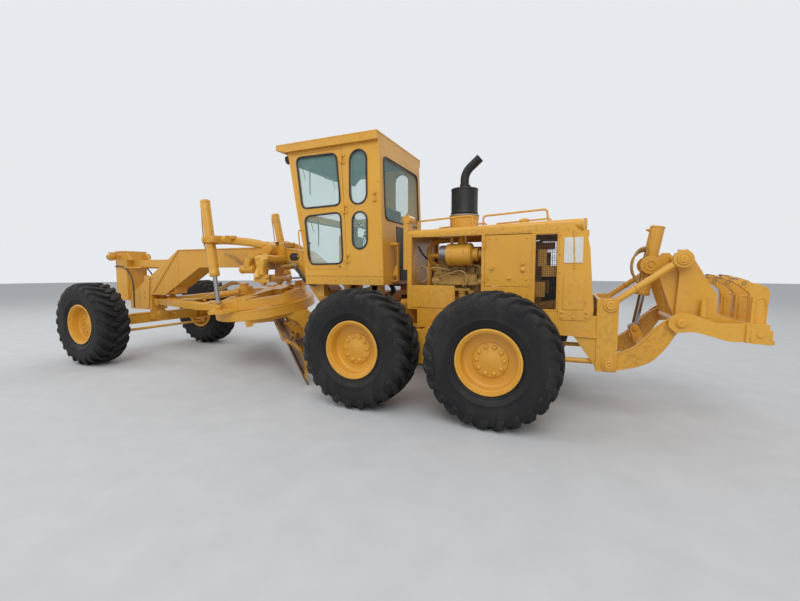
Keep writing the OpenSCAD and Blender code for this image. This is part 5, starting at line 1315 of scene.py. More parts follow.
def cab_outside():
    """Folded roof edge, seams, hold-back catches, grab rails, rivets and the skirt's ledge."""
    bm = bmesh.new()
    for side in (1, -1):
        y = side * HALF
        tube(bm, bent([(2.055, y * 0.985, 2.32), (2.105, y + side * 0.04, 2.30),
                       (2.06, y + side * 0.04, 1.80), (2.03, y * 0.985, 1.78)], 0.04), 0.0105, 8)
        for z0, z1 in ((2.64, 2.665), (2.735, 2.76)):
            box(bm, (0.835, y - 0.001 * side, z0), (0.885, y + 0.022 * side, z1))
        tube(bm, [(0.862, y + side * 0.012, 2.63), (0.862, y + side * 0.012, 2.77)], 0.007, 8)
        box(bm, (0.735, y - 0.001 * side, 1.632), (2.020, y + 0.006 * side, 1.642))
        box(bm, (0.803, y + 0.048 * side, 3.535), (2.477, y + 0.052 * side, 3.557))
    box(bm, (0.796, -0.80, 3.535), (0.801, 0.80, 3.557))
    piece("cab_trim", bm, YELLOW, "front_frame", (), 0.002)
    places, ways = [], []
    for side in (1, -1):
        for x in (0.80, 1.10, 1.50, 1.90):
            places.append((x, side * 0.751, 1.575))
            ways.append((0, side, 0))
        for z in (1.72, 2.2, 2.9, 3.35):
            places.append((rear_x(z) + 0.035, side * 0.751, z))
            ways.append((0, side, 0))
    studs("cab_bolts", places, ways, nut_form(0.010, 0.008), YELLOW, "front_frame")


cab_outside()


# Seat
# A sprung operator's seat: a crowned cushion and backrest in black cloth with sewn channels
# on a steel pedestal, with two armrests.
def cushion(size, channels, crown, steps=18):
    """A closed padded form round its own middle, pulled in between its corners."""
    bm = bmesh.new()
    half = Vector(size) / 2
    bmesh.ops.create_cube(bm, size=2.0)
    bmesh.ops.subdivide_edges(bm, edges=bm.edges[:], cuts=steps, use_grid_fill=True)
    for vert in bm.verts:
        p = vert.co.copy()
        u, v, w = p.x, p.y, p.z
        edge = max(abs(u), abs(v))
        body = (1 - u ** 4) * (1 - v ** 4)
        lift = crown * body * (0.6 + 0.4 * math.cos(math.pi * u / 2))
        seam = sum(math.exp(-((v - c) / 0.035) ** 2) for c in channels) * 0.010 * body
        pull = 0.018 * ((1 - abs(w)) ** 0.5)
        x = u * (half.x - pull * (1 - v * v) * (0.5 if abs(u) > 0.98 else 0.0))
        y = v * (half.y - pull * (1 - u * u) * (0.5 if abs(v) > 0.98 else 0.0))
        soft = 0.022 * max(0.0, edge - 0.88) / 0.12
        z = w * (half.z - soft) + (max(w, 0.0) * (lift - seam))
        vert.co = (x, y, z)
    return bm


def seat_pieces():
    bm = cushion((0.48, 0.49, 0.115), (-0.5, 0.0, 0.5), 0.035)
    bmesh.ops.translate(bm, vec=(1.205, 0, 2.008), verts=bm.verts[:])
    base = piece("seat_cushion", bm, LINING, "front_frame", ["seat"], smooth=60.0)
    bm = cushion((0.60, 0.47, 0.095), (-0.5, 0.0, 0.5), 0.030)
    bmesh.ops.rotate(bm, matrix=Matrix.Rotation(math.radians(84), 3, "Y"), verts=bm.verts[:])
    bmesh.ops.translate(bm, vec=(0.965, 0, 2.335), verts=bm.verts[:])
    rest = piece("seat_backrest", bm, LINING, "front_frame", smooth=60.0)
    bm = bmesh.new()
    slab(bm, [(1.04, 1.645), (1.30, 1.645), (1.26, 1.93), (1.08, 1.93)], -0.13, 0.26)
    box(bm, (0.98, -0.22, 1.925), (1.43, 0.22, 1.952))
    box(bm, (0.905, -0.20, 1.94), (0.925, 0.20, 2.50))
    for side in (1, -1):
        tube(bm, bent([(1.00, side * 0.235, 1.95), (0.98, side * 0.262, 2.20),
                       (1.28, side * 0.262, 2.22)],
                      0.05), 0.012, 8)
        box(bm, (1.02, side * 0.262 - 0.028, 2.215), (1.30, side * 0.262 + 0.028, 2.245))
    piece("seat_frame", bm, DARK, "front_frame", (), 0.004)


seat_pieces()


# Front frame
# A box beam of welded plate that rises over the blade and comes down to the nose. Its top
# plate stands out past the webs, a dark hose runs down the nose, and hoses arch under it.
BEAM = 0.170
NOSE = 0.210
TOP_LINE = [(2.50, 2.034), (3.00, 2.120), (5.520, 2.120), (6.325, 1.270)]
LOW_LINE = [(2.740, 1.770), (4.930, 1.770), (5.946, 1.215)]


def along(points, y, r, bm, steps=8):
    tube(bm, [(x, y, z) for x, z in points], r, steps)


def smoothed(points, cuts=4):
    """A path drawn as one soft curve through its points."""
    points = [Vector(p) for p in points]
    out = []
    for i in range(len(points) - 1):
        a, b = points[max(i - 1, 0)], points[i]
        c, d = points[i + 1], points[min(i + 2, len(points) - 1)]
        for k in range(cuts):
            t = k / cuts
            out.append(0.5 * (2 * b + (c - a) * t + (2 * a - 5 * b + 4 * c - d) * t * t
                              + (3 * b - a - 3 * c + d) * t ** 3))
    return out + [points[-1]]


def front_frame_trim():
    bm = bmesh.new()
    for side in (1, -1):
        for (x0, z0), (x1, z1) in zip(TOP_LINE, TOP_LINE[1:]):
            drop = 0.018 * math.hypot(x1 - x0, z1 - z0) / max(abs(x1 - x0), 0.001)
            side_slab(bm, [(x0, z0), (x1, z1), (x1, z1 - drop), (x0, z0 - drop)], side,
                      BEAM - 0.004, BEAM + 0.014)
        for (x0, z0), (x1, z1) in zip(LOW_LINE, LOW_LINE[1:]):
            rise = 0.016 * math.hypot(x1 - x0, z1 - z0) / abs(x1 - x0)
            side_slab(bm, [(x0, z0), (x1, z1), (x1, z1 + rise), (x0, z0 + rise)], side,
                      BEAM - 0.004, BEAM + 0.014)
        tube(bm, [(5.545, side * (BEAM + 0.001), 2.10), (5.545, side * (BEAM + 0.001), 1.46)],
             0.005, 6)
        for x in (7.075, 7.435):
            tube(bm, [(x, side * (NOSE + 0.0005), 2.120), (x, side * (NOSE + 0.0005), 1.09)], 0.004,
                 6)
        box(bm, (7.070, side * (NOSE - 0.004), 1.083), (7.440, side * (NOSE + 0.012), 1.105))
        box(bm, (7.066, side * (NOSE - 0.004), 2.100), (7.444, side * (NOSE + 0.012), 2.128))
        tube(bm, [(7.08, side * 0.235, 1.775), (6.62, side * 0.215, 1.770)], 0.016, 10)
        disc(bm, (7.085, side * NOSE, 1.775), (0, side, 0), 0.035, 0.03, 16)
    for x in (1.05, 1.92):
        for side in (1, -1):
            for z in (1.46, 1.415):
                disc(bm, (x, side * 0.600, z), (0, side, 0), 0.016, 0.012, 12)
    slab(bm, [(7.30, 1.12), (7.443, 1.12), (7.443, 1.20), (7.36, 1.20)], -0.14, 0.28)
    piece("front_frame_trim", bm, YELLOW, "front_frame", (), 0.003)

    places, ways = [], []
    for y in (-0.13, 0.13):
        for z in (1.30, 1.90):
            places.append((7.441, y, z))
            ways.append((1, 0, 0))
    for side in (1, -1):
        for x, z in [(2.60, 1.95), (2.67, 1.86), (2.60, 1.80), (2.85, 1.93), (6.50, 1.24),
                     (6.60, 1.24), (6.50, 1.14), (6.60, 1.14)]:
            places.append((x, side * (BEAM + 0.0005), z))
            ways.append((0, side, 0))
    studs("front_frame_bolts", places, ways, nut_form(0.019, 0.018, False), YELLOW, "front_frame")

    bm = bmesh.new()
    for side in (1, -1):
        along([(7.430, 1.800), (7.30, 1.815), (7.16, 1.790), (7.050, 1.735), (6.965, 1.665),
               (6.905, 1.590),
               (6.862, 1.480), (6.850, 1.340), (6.850, 1.200), (6.856, 1.050), (6.850, 0.930)],
              side * 0.232, 0.014, bm, 10)
    piece("nose_hose", bm, HOSE, "front_frame")

    bm = bmesh.new()
    for i in range(6):
        y = 0.030 + 0.026 * i if i < 5 else -0.02
        lift = 0.028 * i
        spots = [(6.455 - 0.012 * i, y + 0.03, 1.250 + 0.062 * i),
                 (6.36, y + 0.03, 1.285 + 0.062 * i),
                 (6.20, y + 0.015, 1.425 + 0.036 * i), (6.00, y, 1.520 + 0.020 * i),
                 (5.84, y, 1.500 + lift * 0.8), (5.735, y, 1.420 + lift),
                 (5.690, y, 1.330 + lift * 0.4), (5.690, y - 0.01, 1.275)]
        tube(bm, smoothed(spots), 0.0125, 8)
    piece("arched_hoses", bm, LINE, "front_frame")
    bm = bmesh.new()
    box(bm, (5.655, -0.10, 1.252), (5.725, 0.20, 1.276))
    box(bm, (5.66, -0.10, 1.265), (5.672, 0.168, 1.40))
    for i in range(6):
        y = (0.030 + 0.026 * i if i < 5 else -0.02) + 0.03
        spun(bm, (6.475 - 0.012 * i, y, 1.250 + 0.062 * i), (-1, 0, 0.05),
             [(0, -0.02), (0.021, -0.02),
             (0.021, 0.012), (0.016, 0.014), (0.016, 0.045), (0.018, 0.048), (0.018, 0.06),
             (0, 0.06)], 12)
        spun(bm, (5.690, y - 0.04, 1.276), (0, 0, 1),
             [(0, -0.01), (0.017, -0.01), (0.017, 0.03), (0, 0.03)], 10)
    slab(bm, [(6.46, 0.935), (6.56, 0.935), (6.56, 1.60), (6.42, 1.62), (6.40, 1.55)], 0.176, 0.012)
    piece("hose_fittings", bm, YELLOW, "front_frame", (), 0.002)


def frame_hoses():
    """Pipes and hoses along the beam, under the cab and over the hinge."""
    # Thin dark plates on each side of the beam are painted shade in its oval and square openings.
    bm = bmesh.new()
    for side in (1, -1):
        hole = pill(-0.066, 0.066, -0.100, 0.100)
        side_slab(bm, [(2.684 + z, 1.938 + x) for x, z in hole], side, BEAM - 0.001, BEAM + 0.0015)
        side_slab(bm, [(3.520, 1.862), (3.650, 1.862), (3.650, 2.010), (3.520, 2.010)], side,
                  BEAM - 0.001, BEAM + 0.002)
    piece("beam_openings", bm, DARK, "front_frame")
    bm = bmesh.new()
    for side in (1, -1):
        for i in range(2):
            path = [(3.700 + 0.05 * i, side * 0.184, 1.790),
                    (3.780 + 0.05 * i, side * 0.186, 1.800),
                    (4.050 + 0.05 * i, side * 0.188, 1.965 + 0.01 * i),
                    (4.130 + 0.05 * i, side * 0.186, 2.000),
                    (4.260, side * 0.184, 2.010 + 0.02 * i)]
            tube(bm, bent(path, 0.05), 0.0095, 8)
        for i in range(3):
            z = 1.84 + 0.035 * i
            tube(bm, bent([(3.10, side * 0.19, z - 0.06), (2.78, side * 0.19, z - 0.02),
                           (2.46, side * 0.21, z - 0.24),
                           (2.22, side * 0.24, 1.500 - 0.03 * i)], 0.10), 0.011, 8)
    piece("beam_pipes", bm, LINE, "front_frame")
    bm = bmesh.new()
    for i in range(4):
        y = 0.24 + 0.045 * i
        tube(bm, hanging((2.02 - 0.04 * i, y, 1.485), (1.52, y + 0.02, 1.44 - 0.02 * i),
                         0.13 + 0.03 * (i % 2)),
             0.013, 8)
        tube(bm, hanging((2.00 - 0.04 * i, -y, 1.485), (1.45, -y, 1.44), 0.12 + 0.03 * (i % 2)),
             0.013, 8)
    for i in range(3):
        tube(bm, hanging((1.44, 0.36 + 0.05 * i, 1.49), (1.06, 0.42 + 0.04 * i, 1.48),
                         0.10 + 0.02 * i, (0, 0.02, 0)), 0.014, 8)
    tube(bm, smoothed([(2.60, 0.22, 1.78), (2.52, 0.27, 1.72), (2.42, 0.29, 1.60),
                       (2.30, 0.28, 1.53), (2.14, 0.26, 1.50)]), 0.016, 8)
    tube(bm, smoothed([(2.62, 0.20, 1.74), (2.50, 0.24, 1.62), (2.38, 0.25, 1.51),
                       (2.20, 0.24, 1.46)]),
         0.016, 8)
    piece("cab_hoses", bm, HOSE, "front_frame")


front_frame_trim()
frame_hoses()


# Head lamps
# Two round lamps on brackets at the nose, each a dished shell with a bright ring and a lens.
def head_lamps():
    bm, glow, rims = bmesh.new(), bmesh.new(), bmesh.new()
    for side in (1, -1):
        mid = (7.280, side * 0.36, 2.010)
        spun(bm, mid, (1, 0, 0), [(0, -0.045), (0.03, -0.043), (0.055, -0.034), (0.076, -0.012),
             (0.084, 0.015), (0.086, 0.050), (0, 0.050)], 32)
        spun(rims, mid, (1, 0, 0), [(0.070, 0.050), (0.090, 0.046), (0.092, 0.060), (0.086, 0.068),
             (0.076, 0.066), (0.070, 0.060)], 32)
        spun(glow, mid, (1, 0, 0), [(0, 0.048), (0.078, 0.048), (0.076, 0.058), (0.045, 0.066),
                                    (0, 0.069)], 32)
    piece("head_lamp_shells", bm, YELLOW, "front_frame")
    piece("head_lamp_rings", rims, CHROME, "front_frame")
    piece("head_lamp_lenses", glow, PALE, "front_frame")


head_lamps()


# Front axle and steering
# The beam hangs on a pin under the nose. Each knuckle has a fork, a kingpin with a cap and
# a steering arm, and steel hubs carry the wheels. Two steering cylinders lie behind the beam.
def front_axle_pieces():
    x = 6.455
    bm = bmesh.new()
    for side in (1, -1):
        box(bm, (x - 0.100, side * 0.16, 0.832), (x + 0.100, side * 0.74, 0.850))
        for y in (0.30, 0.62):
            side_slab(bm, [(x + 0.088, 0.66), (x + 0.125, 0.70), (x + 0.125, 0.80),
                           (x + 0.088, 0.835)], side, y - 0.012, y + 0.012)
    for s in (1, -1):
        spun(bm, (x + s * 0.064, 0, 0.800), (s, 0, 0),
             [(0, 0), (0.085, 0), (0.085, 0.030), (0.060, 0.034), (0.050, 0.050), (0, 0.052)], 28)
    for side in (1, -1):
        side_slab(bm, [(x - 0.092, 0.70), (x - 0.235, 0.72), (x - 0.235, 0.80), (x - 0.092, 0.83)],
                  side, 0.205, 0.245)
    piece("front_axle_trim", bm, YELLOW, "front_frame", (), 0.003)


front_axle_pieces()


# Lift yoke
# A cast saddle that clamps round the beam. A thick arm on each side holds a lift cylinder's
# collar in a fork, and two curved legs on the left reach down to the centre-shift cylinder.
LIFT_PIN = Vector((3.830, 0.860, 2.210))
SADDLE_X = 3.084
SHIFT_PIN = Vector((2.935, 0.560, 1.583))
SHIFT_TURN = Matrix.Rotation(math.radians(14), 4, "Z")


def cast(bm, spots, steps=14):
    """A cast arm through spots of (place, half width, half height), oval in section."""
    path = smoothed([s[0] for s in spots])
    sizes = smoothed([(s[1], s[2], 0) for s in spots])
    rings = []
    for i, p in enumerate(path):
        way = (path[min(i + 1, len(path) - 1)] - path[max(i - 1, 0)]).normalized()
        side = way.cross(Vector((0, 0, 1)) if abs(way.z) < 0.8 else Vector((0, 1, 0))).normalized()
        up = side.cross(way).normalized()
        ring = []
        for k in range(steps):
            a = 2 * math.pi * (k + 0.5) / steps
            c, s = math.cos(a), math.sin(a)
            c, s = math.copysign(abs(c) ** 0.55, c), math.copysign(abs(s) ** 0.55, s)
            ring.append(bm.verts.new(p + side * c * sizes[i].x + up * s * sizes[i].y))
        rings.append(ring)
    for here, there in zip(rings, rings[1:]):
        for k in range(steps):
            j = (k + 1) % steps
            bm.faces.new((here[k], here[j], there[j], there[k]))
    bm.faces.new(rings[0][::-1])
    bm.faces.new(rings[-1])


def eye_profile(r, h):
    """A boss with a raised ring and a pin's head in its middle."""
    return [(0, -0.02), (r, -0.02), (r, h * 0.45), (r * 0.93, h * 0.6), (r * 0.66, h * 0.6),
            (r * 0.62, h),
            (r * 0.42, h), (r * 0.38, h * 0.7), (r * 0.30, h * 0.7), (r * 0.27, h * 1.25),
            (0, h * 1.3)]


def yoke_pieces():
    bm = bmesh.new()
    plate = [(SADDLE_X + x, z) for x, z in [(-0.184, 1.750), (-0.264, 1.950), (-0.184, 2.190),
                                            (0.166, 2.190),
             (0.316, 1.950), (0.336, 1.510), (0.246, 1.432), (0.181, 1.520), (0.166, 1.720)]]
    for side in (1, -1):
        low = min(side * BEAM, side * (BEAM + 0.07))
        slab(bm, taken_round(plate, 0.035, 4), low, 0.07)
        spun(bm, (SADDLE_X, side * 0.200, 2.068), (0, side, 0), [(0, 0), (0.135, 0), (0.128, 0.06),
             (0.118, 0.10), (0.118, 0.185)] + [(r, 0.200 + w) for r,
                                               w in eye_profile(0.118, 0.024)[1:]], 36)
        cast(bm, [((SADDLE_X + 0.02, side * 0.32, 2.120), 0.085, 0.060),
                  ((3.270, side * 0.445, 2.165), 0.078, 0.066),
                  ((3.480, side * 0.575, 2.195), 0.066, 0.066),
                  ((3.680, side * 0.672, 2.203), 0.055, 0.060),
                  ((3.860, side * 0.670, 2.203), 0.042, 0.056)])
        turn = Matrix.Rotation(math.radians(-18.5 * side), 4, "Z")
        place = Matrix.Translation((LIFT_PIN.x, side * LIFT_PIN.y, LIFT_PIN.z)) @ turn
        own = bmesh.new()
        for x in (-0.195, 0.155):
            outline = taken_round([(side * -0.165, -0.060), (side * -0.165, 0.060),
                                   (side * 0.055, 0.060), (side * 0.055, -0.060)], 0.045, 5)
            slab(own, outline, x, 0.040, "X")
        box(own, (-0.195, side * -0.190, -0.060), (0.195, side * -0.150, 0.060))
        for x, s in ((-0.195, -1), (0.195, 1)):
            spun(own, (x, 0, 0), (s, 0, 0), [(w_r, w) for w_r, w in eye_profile(0.056, 0.022)], 28)
            tube(own, [(s * 0.100, 0, 0), (s * 0.170, 0, 0)], 0.0245, 20)
        for k in range(5):
            spun(own, (-0.205 - 0.024 * k, side * -0.145, 0), (-1, 0, 0),
                 [(0, 0), (0.058, 0.0), (0.064, 0.004),
                 (0.064, 0.014), (0.058, 0.018), (0.058, 0.024), (0, 0.024)], 24)
        bmesh.ops.transform(own, matrix=place, verts=own.verts[:])
        poured(bm, own)
        disc(bm, (3.545, side * 0.655, 2.225), (0, 0, 1), 0.060, 0.055, 24)
        spun(bm, (3.050, side * 0.385, 2.080), (0, side, 0),
             [(0, 0), (0.108, 0), (0.108, 0.040), (0.100, 0.048),
             (0.084, 0.048), (0.078, 0.060), (0.060, 0.064), (0.055, 0.052), (0.032, 0.052),
             (0.028, 0.066), (0, 0.068)], 36)
    box(bm, (SADDLE_X - 0.134, -0.240, 2.121), (SADDLE_X + 0.166, 0.240, 2.190))
    cast(bm, [((3.130, 0.330, 2.080), 0.075, 0.100),
              ((3.290, 0.400, 2.015), 0.060, 0.075),
              ((3.400, 0.440, 1.900), 0.055, 0.060),
              ((3.435, 0.450, 1.770), 0.060, 0.070)])
    tube(bm, [(3.300, 0.450, 1.728), (3.565, 0.450, 1.728)], 0.066, 24)
    for x, s in ((3.300, -1), (3.565, 1)):
        spun(bm, (x, 0.450, 1.728), (s, 0, 0), eye_profile(0.072, 0.022), 26)
    cast(bm, [((3.070, 0.330, 2.060), 0.075, 0.075),
              ((3.085, 0.410, 1.930), 0.055, 0.065),
              ((3.045, 0.560, 1.800), 0.055, 0.065),
              ((2.960, 0.690, 1.700), 0.050, 0.070),
              ((2.935, 0.705, 1.600), 0.050, 0.100)])
    cast(bm, [((2.940, 0.175, 1.902), 0.112, 0.060),
              ((2.940, 0.440, 1.902), 0.112, 0.060),
              ((2.940, 0.640, 1.902), 0.108, 0.062),
              ((2.900, 0.704, 1.850), 0.100, 0.060),
              ((2.900, 0.704, 1.740), 0.066, 0.052),
              ((2.900, 0.704, 1.640), 0.066, 0.052)])
    own = bmesh.new()
    for x in (-0.130, 0.070):
        outline = taken_round([(-0.070, -0.060), (-0.070, 0.060), (0.170, 0.060), (0.170, -0.060)],
                              0.045, 5)
        slab(own, outline, x, 0.060, "X")
    box(own, (-0.130, 0.095, -0.060), (0.130, 0.170, 0.060))
    for x, s in ((-0.130, -1), (0.130, 1)):
        spun(own, (x, 0, 0), (s, 0, 0), eye_profile(0.050, 0.018), 24)
    bmesh.ops.transform(own, matrix=Matrix.Translation(SHIFT_PIN) @ SHIFT_TURN, verts=own.verts[:])
    poured(bm, own)
    piece("lift_yoke_casting", bm, YELLOW, "front_frame", ["lift_yoke"], 0.004)

    places = [(SADDLE_X + x, y, 2.190) for x in (-0.10, 0.13) for y in (-0.20, -0.07, 0.07, 0.20)]
    ways = [(0, 0, 1)] * len(places)
    for side in (1, -1):
        for x, z in [(-0.065, 1.969), (-0.237, 2.010), (-0.237, 1.930), (0.10, 1.80), (0.10, 1.90),
                     (0.26, 1.62), (0.26, 1.74)]:
            places.append((SADDLE_X + x, side * 0.2405, z))
            ways.append((0, side, 0))
    studs("yoke_bolts", places, ways, nut_form(0.021, 0.020, False), YELLOW, "front_frame")

    bm = bmesh.new()
    for i in range(4):
        z = 1.99 - 0.045 * i
        tube(bm, smoothed([(3.62, 0.190, z - 0.02), (3.50, 0.215, z + 0.035),
                           (3.36, 0.290, z + 0.04),
                           (3.24, 0.300, z - 0.02), (3.16, 0.270, z - 0.10)]), 0.0115, 8)
    for i in range(3):
        tube(bm, smoothed([(3.18, 0.27, 1.86 - 0.03 * i), (3.08, 0.29, 1.80 - 0.03 * i),
                           (2.90, 0.29, 1.79 - 0.02 * i), (2.72, 0.26, 1.80),
                           (2.60, 0.21, 1.84 - 0.03 * i)]),
             0.013, 8)
    piece("yoke_hoses", bm, LINE, "front_frame")


yoke_pieces()


# Lift cylinders
# Two long cylinders hang in collars at the yoke. Each has a welded cap, a screwed gland, a
# steel line in clips and, at its rod's end, a bolted cap that holds the drawbar's ball.
BALL_X, BALL_Z = 6.300, 1.080
DRAWBAR_ROLL, DRAWBAR_PITCH = math.radians(9.0), math.radians(3.3)
CIRCLE_BACK, CIRCLE_TURN = 2.800, math.radians(45.5)
WORM_X = -2.36


def leant(p):
    """A place in the drawbar's own frame, in the machine's frame."""
    roll, pitch = DRAWBAR_ROLL, DRAWBAR_PITCH
    y = p[1] * math.cos(roll) + p[2] * math.sin(roll)
    z = -p[1] * math.sin(roll) + p[2] * math.cos(roll)
    return Vector((BALL_X + p[0] * math.cos(pitch) + z * math.sin(pitch), y,
                   BALL_Z - p[0] * math.sin(pitch) + z * math.cos(pitch)))


def turned(p):
    """A place in the circle's own frame, in the machine's frame."""
    a = CIRCLE_TURN
    return leant((p[0] * math.cos(a) - p[1] * math.sin(a) - CIRCLE_BACK,
                  p[0] * math.sin(a) + p[1] * math.cos(a), p[2]))


def placed(bm, own, moved):
    """Adds a form drawn in its own frame, with each corner moved to the machine's frame."""
    for vert in own.verts:
        vert.co = moved(vert.co)
    poured(bm, own)


def lift_pieces():
    for label, side in (("left", 1), ("right", -1)):
        pin = Vector((LIFT_PIN.x, side * LIFT_PIN.y, LIFT_PIN.z))
        ball = leant((-2.650, side * 0.900, 0.030))
        way = (ball - pin).normalized()
        bm = bmesh.new()
        spun(bm, pin + way * 0.52, way, [(0.070, 0), (0.0765, 0.0), (0.080, 0.006), (0.080, 0.064),
             (0.076, 0.070), (0.076, 0.078), (0.070, 0.080), (0.040, 0.080), (0.040, 0.070)], 40)
        spun(bm, pin - way * 0.655, way, [(0, 0), (0.066, 0.0), (0.074, 0.006), (0.078, 0.012),
                                          (0.078, 0.045),
             (0.0755, 0.05), (0.05, 0.05)], 40)
        for d in (-0.50, -0.14, 0.12, 0.42):
            spun(bm, pin + way * d, way, [(0.070, 0), (0.0775, 0.0), (0.0775, 0.022),
                                          (0.070, 0.022)], 40)
        front = Vector((1, 0, 0)) - way * way.x
        front.normalize()
        for d in (-0.585, 0.545):
            spun(bm, pin + way * d + front * 0.068, front,
                 [(0, 0), (0.024, 0), (0.024, 0.022), (0.018, 0.026),
                 (0.018, 0.042), (0, 0.042)], 16)
        piece("lift_barrel_caps_" + label, bm, YELLOW, "lift_barrel_" + label,
              smooth=35.0)
        bm = bmesh.new()
        line = [pin + way * -0.585 + front * 0.105, pin + way * -0.50 + front * 0.112,
                pin + way * -0.20 + front * 0.140, pin + way * 0.05 + front * 0.140,
                pin + way * 0.20 + front * 0.110, pin + way * 0.48 + front * 0.105,
                pin + way * 0.545 + front * 0.098]
        lateral = way.cross(front).normalized() * 0.020
        tube(bm, bent(line, 0.03), 0.0085, 8)
        beside = [p + lateral + front * 0.02 for p in line[:4]]
        tube(bm, bent(beside + [line[3] + lateral + front * 0.05], 0.03), 0.0085, 8)
        for d in (-0.50, 0.42):
            spot = pin + way * (d + 0.011)
            tube(bm, [spot + front * 0.076, spot + front * 0.118], 0.011, 8)
        piece("lift_lines_" + label, bm, LINE, "lift_barrel_" + label)
        bm = bmesh.new()
        spun(bm, ball - way * 0.086, way,
             [(0.036, 0.0), (0.058, 0.0), (0.0615, 0.004), (0.0615, 0.030),
             (0.056, 0.035), (0.03, 0.035)], 32)
        piece("lift_ball_caps_" + label, bm, ENGINE, "lift_rod_" + label,
              smooth=35.0)
        bm = bmesh.new()
        spun(bm, pin + Vector((0, side * 0.117, 0)), (0, side, 0), eye_profile(0.045, 0.016), 24)
        piece("lift_collar_caps_" + label, bm, YELLOW, "lift_collar_" + label,
              smooth=35.0)


lift_pieces()


# Drawbar and circle
# Two box legs run back from the ball to a plate frame with guide shoes. The circle below it
# is a rolled ring with teeth inside, driven by a worm case on the frame.
def drawbar_pieces():
    bm = bmesh.new()
    own = bmesh.new()
    for side in (1, -1):
        for x, y in [(-2.35, 0.72), (-2.95, 0.66)]:
            box(own, (x - 0.10, side * (y - 0.055), 0.074), (x + 0.10, side * (y + 0.055), 0.094))
        slab(own, [(-2.80, -0.030), (-2.52, -0.030), (-2.56, 0.050), (-2.73, 0.050)],
             min(side * 0.79, side * 0.81), 0.020)
        slab(own, taken_round([(-0.06, -0.07), (0.02, -0.07), (0.02, 0.07), (-0.06, 0.07)], 0.03,
                              4),
             min(side * 0.126, side * 0.150), 0.024)
    spun(own, (WORM_X, 0.0, 0.075), (0, 0, 1),
         [(0, 0), (0.185, 0.0), (0.185, 0.020), (0.150, 0.026),
         (0.150, 0.115), (0.140, 0.128), (0.085, 0.135), (0.085, 0.180), (0.07, 0.190), (0, 0.192)],
         40)
    tube(own, [(WORM_X, 0.145, 0.135), (-2.20, 0.30, 0.135)], 0.060, 20)
    tube(own, [(-2.20, 0.30, 0.135), (-2.12, 0.38, 0.135)], 0.045, 20)
    box(own, (-3.50, -0.20, 0.074), (-3.42, 0.20, 0.100))
    slab(own, [(-0.42, -0.052), (-0.56, -0.052), (-0.56, 0.052), (-0.42, 0.052)], -0.12, 0.24)
    placed(bm, own, leant)
    own = bmesh.new()
    spun(own, (-0.30, 0, 0), (-1, 0, 0), [(0, -0.04), (0.060, -0.04), (0.085, 0.0), (0.120, 0.012),
         (0.120, 0.040), (0.110, 0.046), (0.080, 0.048), (0.065, 0.075), (0, 0.085)], 32)
    placed(bm, own, leant)
    piece("drawbar_trim", bm, YELLOW, "drawbar", (), 0.003)

    places, ways = [], []
    up = (leant((0, 0, 1)) - leant((0, 0, 0))).normalized()
    back = (leant((-1, 0, 0)) - leant((0, 0, 0))).normalized()
    for side in (1, -1):
        for x in (-2.42, -2.28):
            places.append(leant((x, side * 0.72, 0.094)))
        for x in (-3.02, -2.88):
            places.append(leant((x, side * 0.66, 0.094)))
        for x in (-2.755, -2.545):
            places.append(leant((x, side * 0.86, -0.025)))
    for i in range(8):
        a = 2 * math.pi * i / 8
        places.append(leant((WORM_X + 0.168 * math.cos(a), 0.168 * math.sin(a), 0.095)))
    ways = [tuple(up)] * len(places)
    for i in range(8):
        a = 2 * math.pi * (i + 0.5) / 8
        places.append(leant((-0.345, 0.100 * math.cos(a), 0.100 * math.sin(a))))
        ways.append(tuple(back))
    studs("drawbar_bolts", places, ways, nut_form(0.017, 0.016, False), YELLOW, "drawbar")

    bm, own = bmesh.new(), bmesh.new()
    for i in range(3):
        tube(own, smoothed([(-2.30 + 0.04 * i, 0.02, 0.26),
                            (-2.18 + 0.03 * i, 0.10, 0.32 - 0.03 * i),
                            (-1.98, 0.20, 0.24 - 0.03 * i), (-1.80, 0.30, 0.13),
                            (-1.60, 0.45 - 0.05 * i, 0.085),
                            (-1.30, 0.40 - 0.05 * i, 0.07), (-0.95, 0.28 - 0.03 * i, 0.065)]),
                            0.0125, 8)
    placed(bm, own, leant)
    piece("drawbar_hoses", bm, LINE, "drawbar")

    own = bmesh.new()
    tooth = [(0.712, -0.019), (0.712, 0.019), (0.686, 0.012), (0.682, 0.0), (0.686, -0.012)]
    slab(own, tooth, -0.225, 0.125, "Z")
    form = form_of("circle_tooth", own)
    teeth = grown("teeth", RING, {"Form": form, "Count": 76, "Step": 2 * math.pi / 76}, ENGINE)
    bpy.data.objects.remove(form)
    teeth.transform(Matrix.Translation(-MACHINE))
    for vert in teeth.vertices:
        vert.co = turned(vert.co) + MACHINE
    kept("circle_teeth", teeth, ENGINE, "circle", smooth=30.0)
    bm, own = bmesh.new(), bmesh.new()
    for r, z0, z1 in ((0.866, -0.100, -0.088), (0.866, -0.238, -0.224)):
        turned_round(own, [(0.850, z0), (r, z0 + 0.003), (r, z1 - 0.003), (0.850, z1)], 120)
    placed(bm, own, turned)
    piece("circle_bands", bm, YELLOW, "circle", smooth=30.0)
    places = []
    for side in (1, -1):
        for x, z in [(0.34, -0.29), (0.20, -0.27), (-0.10, -0.27), (-0.55, -0.33)]:
            places.append(turned((x, side * 0.7705, z)))
    outs = [(turned((0, s, 0)) - turned((0, 0, 0))).normalized() for s in (1, 1, 1, 1, -1, -1, -1,
                                                                           -1)]
    studs("circle_bolts", places, outs, nut_form(0.018, 0.016, False), YELLOW, "circle")


drawbar_pieces()


